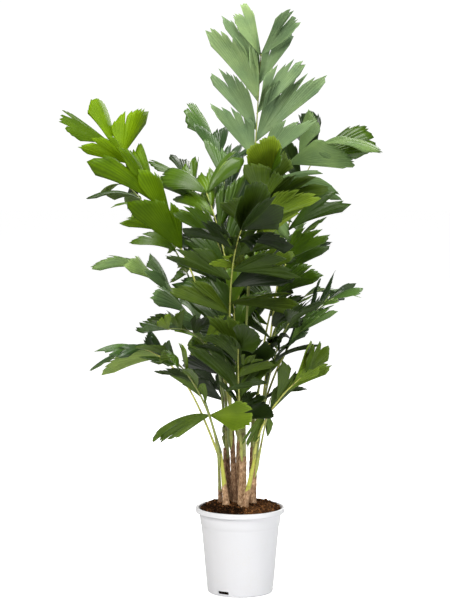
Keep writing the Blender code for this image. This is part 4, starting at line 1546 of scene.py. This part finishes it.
@dataclass(frozen=True)
class Studio:
    """A pale floor, soft lights and the camera, which looks down on the plant a little."""

    floor_radius: float = 22.0
    camera_place: Colour = (-0.046, -6.5, 1.5)
    camera_tilt: float = 5.4
    lens: float = 87.2
    sensor: float = 24.0
    seen: float = 0.85
    soft: float = 0.19
    aim: Colour = (0.0, 0.0, 0.9)

    def build(self) -> None:
        """Sets up the floor, the surroundings, the lights and the camera."""
        self.lay_floor()
        self.light_surroundings()
        self.hang_light("key", (-2.4, -4.0, 4.0), 2.8, 270.0, (1.0, 0.985, 0.95))
        self.hang_light("fill", (3.4, -3.6, 1.3), 2.8, 105.0, (0.96, 0.98, 1.0))
        self.hang_light("top", (0.2, -0.4, 4.2), 2.2, 120.0, (1.0, 1.0, 0.97))
        self.hang_light("back", (1.6, 3.8, 2.6), 2.6, 115.0, (1.0, 1.0, 0.95))
        self.set_camera()
        bpy.context.scene.view_settings.view_transform = "Standard"

    def lay_floor(self) -> None:
        """Lays a wide disc whose own faint glow keeps it pale."""
        clear_selection()
        bpy.ops.mesh.primitive_circle_add(vertices=96, radius=self.floor_radius, fill_type="NGON",
                                          location=(0.0, 0.0, 0.0))
        floor = bpy.context.object
        floor.name = "studio_floor"
        material, sheet, shader = new_finish("pale_floor", 0.9, 0.1)
        shader.inputs["Base Color"].default_value = (0.75, 0.75, 0.75, 1.0)
        shader.inputs["Emission Color"].default_value = (1.0, 1.0, 1.0, 1.0)
        path = sheet.add("ShaderNodeLightPath")
        glow = sheet.maths("MULTIPLY", path.outputs["Is Camera Ray"], self.seen)
        sheet.link(glow, shader.inputs["Emission Strength"])
        floor.data.materials.append(material)

    def light_surroundings(self) -> None:
        """Makes the surroundings white to the eye and softer as a light."""
        world = bpy.data.worlds.new("white_room")
        bpy.context.scene.world = world
        world.use_nodes = True
        sheet = NodeSheet(world.node_tree)
        background = world.node_tree.nodes["Background"]
        background.inputs["Color"].default_value = (1.0, 1.0, 1.0, 1.0)
        path = sheet.add("ShaderNodeLightPath")
        seen = sheet.maths("MULTIPLY", path.outputs["Is Camera Ray"], self.seen)
        sheet.link(sheet.maths("ADD", seen, self.soft), background.inputs["Strength"])

    def hang_light(self, name: str, place: Colour, size: float, power: float, colour: Colour) -> None:
        """Hangs a soft square light that looks at the middle of the plant."""
        light = bpy.data.lights.new(name, "AREA")
        light.energy = power
        light.size = size
        light.color = colour
        lamp = bpy.data.objects.new(name, light)
        lamp.location = place
        lamp.rotation_euler = (Vector(self.aim) - Vector(place)).to_track_quat("-Z", "Y").to_euler()
        bpy.context.scene.collection.objects.link(lamp)

    def set_camera(self) -> None:
        """Sets the camera at the photograph's height, distance and tilt."""
        lens = bpy.data.cameras.new("camera")
        lens.sensor_fit = "VERTICAL"
        lens.sensor_height = self.sensor
        lens.lens = self.lens
        eye = bpy.data.objects.new("camera", lens)
        eye.location = self.camera_place
        eye.rotation_euler = (math.radians(90 - self.camera_tilt), 0.0, 0.0)
        bpy.context.scene.collection.objects.link(eye)
        bpy.context.scene.camera = eye


# How a crumb's tint darkens or lightens the soil
CRUMB_TINTS = ((0.0, (0.25, 0.25, 0.25)), (0.6, (1.0, 1.0, 1.0)), (1.0, (2.6, 2.4, 2.2)))

# How a leaflet's tint darkens or lightens its frond's green
LEAF_TINTS = ((0.0, (0.22, 0.27, 0.2)), (0.5, (0.85, 0.87, 0.8)), (0.85, (1.5, 1.4, 1.05)),
              (1.0, (2.5, 2.1, 1.2)))

# How a soft mottle over the crown shifts the greens
LEAF_MOTTLE = ((0.3, (0.76, 0.80, 0.84)), (0.7, (1.16, 1.12, 1.06)))

# How a rib's tint darkens or lightens its green
RIB_TINTS = ((0.0, (0.30, 0.38, 0.36)), (1.0, (1.2, 1.15, 0.85)))

LEAF_FINISHES = {
    # Lime: partly painted light, a brighter green for light shining through the leaflets
    Tone.LIME: LeafFinish(Tone.LIME, (0.092, 0.172, 0.001), (0.14, 0.225, 0.003),
                          play=0.55, gloss=0.5, shine=0.08),
    Tone.PALE: LeafFinish(Tone.PALE, (0.115, 0.19, 0.065), (0.185, 0.275, 0.13),
                          play=0.5, gloss=0.5, shine=0.2),
    Tone.MID: LeafFinish(Tone.MID, (0.042, 0.092, 0.001), (0.10, 0.165, 0.012)),
    # Dark: painted shade, near-black on both sides for the fronds deep in the crown
    Tone.DARK: LeafFinish(Tone.DARK, (0.012, 0.028, 0.001), (0.028, 0.055, 0.004)),
    Tone.BLUE: LeafFinish(Tone.BLUE, (0.045, 0.098, 0.022), (0.11, 0.18, 0.06), shine=0.5),
}

BARKS = {
    False: BarkFinish(),
    # The darker bark is painted shade, for the canes that stand in shadow among and behind the others
    True: BarkFinish("cane_bark_shaded", (0.08, 0.042, 0.022), (0.27, 0.155, 0.085), (0.52, 0.34, 0.21)),
}

SHEATHS = {
    Sheath.YELLOW: StalkFinish("sheath_yellow", (0.36, 0.38, 0.04), (0.52, 0.52, 0.10), slot="cane"),
    Sheath.PALE: StalkFinish("sheath_pale", (0.37, 0.38, 0.13), (0.52, 0.53, 0.22), slot="cane"),
    Sheath.OLIVE: StalkFinish("sheath_olive", (0.15, 0.17, 0.045), (0.28, 0.30, 0.09), slot="cane"),
}

# Canes given the darker bark have it as painted shade
CANE_LOOKS = {
    "cane_main": CaneLook(0.45, Sheath.PALE),
    "cane_front_right": CaneLook(0.36, Sheath.YELLOW),
    "cane_front_left": CaneLook(0.41, Sheath.YELLOW),
    "cane_mid_left": CaneLook(0.94, Sheath.OLIVE, shaded=True),
    "cane_left": CaneLook(0.3, Sheath.OLIVE, shaded=True),
    "cane_right": CaneLook(0.64, Sheath.PALE),
    "cane_right_back": CaneLook(0.6, Sheath.OLIVE, shaded=True),
    "cane_back": CaneLook(0.6, Sheath.PALE),
    "cane_back_left": CaneLook(0.6, Sheath.OLIVE, shaded=True),
    "cane_broken": CaneLook(1.0, Sheath.OLIVE, broken=True, shaded=True),
}


def main() -> None:
    """Builds the pot, the soil, the canes and the crown, and the studio round them."""
    logging.basicConfig(level=logging.INFO, format="%(name)s: %(message)s")
    Pot().build(PotFinish())
    Soil(SoilFinish("soil_packed", (0.004, 0.002, 0.001), (0.055, 0.026, 0.012)),
         SoilFinish("soil_dark", (0.003, 0.0015, 0.0008), (0.06, 0.028, 0.012), loose=True),
         SoilFinish("soil_brown", (0.045, 0.019, 0.007), (0.27, 0.12, 0.045), loose=True)).build()
    Canes(CANE_LOOKS, BARKS, SHEATHS).build()
    Crown(BladeForm(), StalkForm(), LEAF_FINISHES, StalkFinish(varied=True)).build()
    Studio().build()


if __name__ == "__main__":
    main()
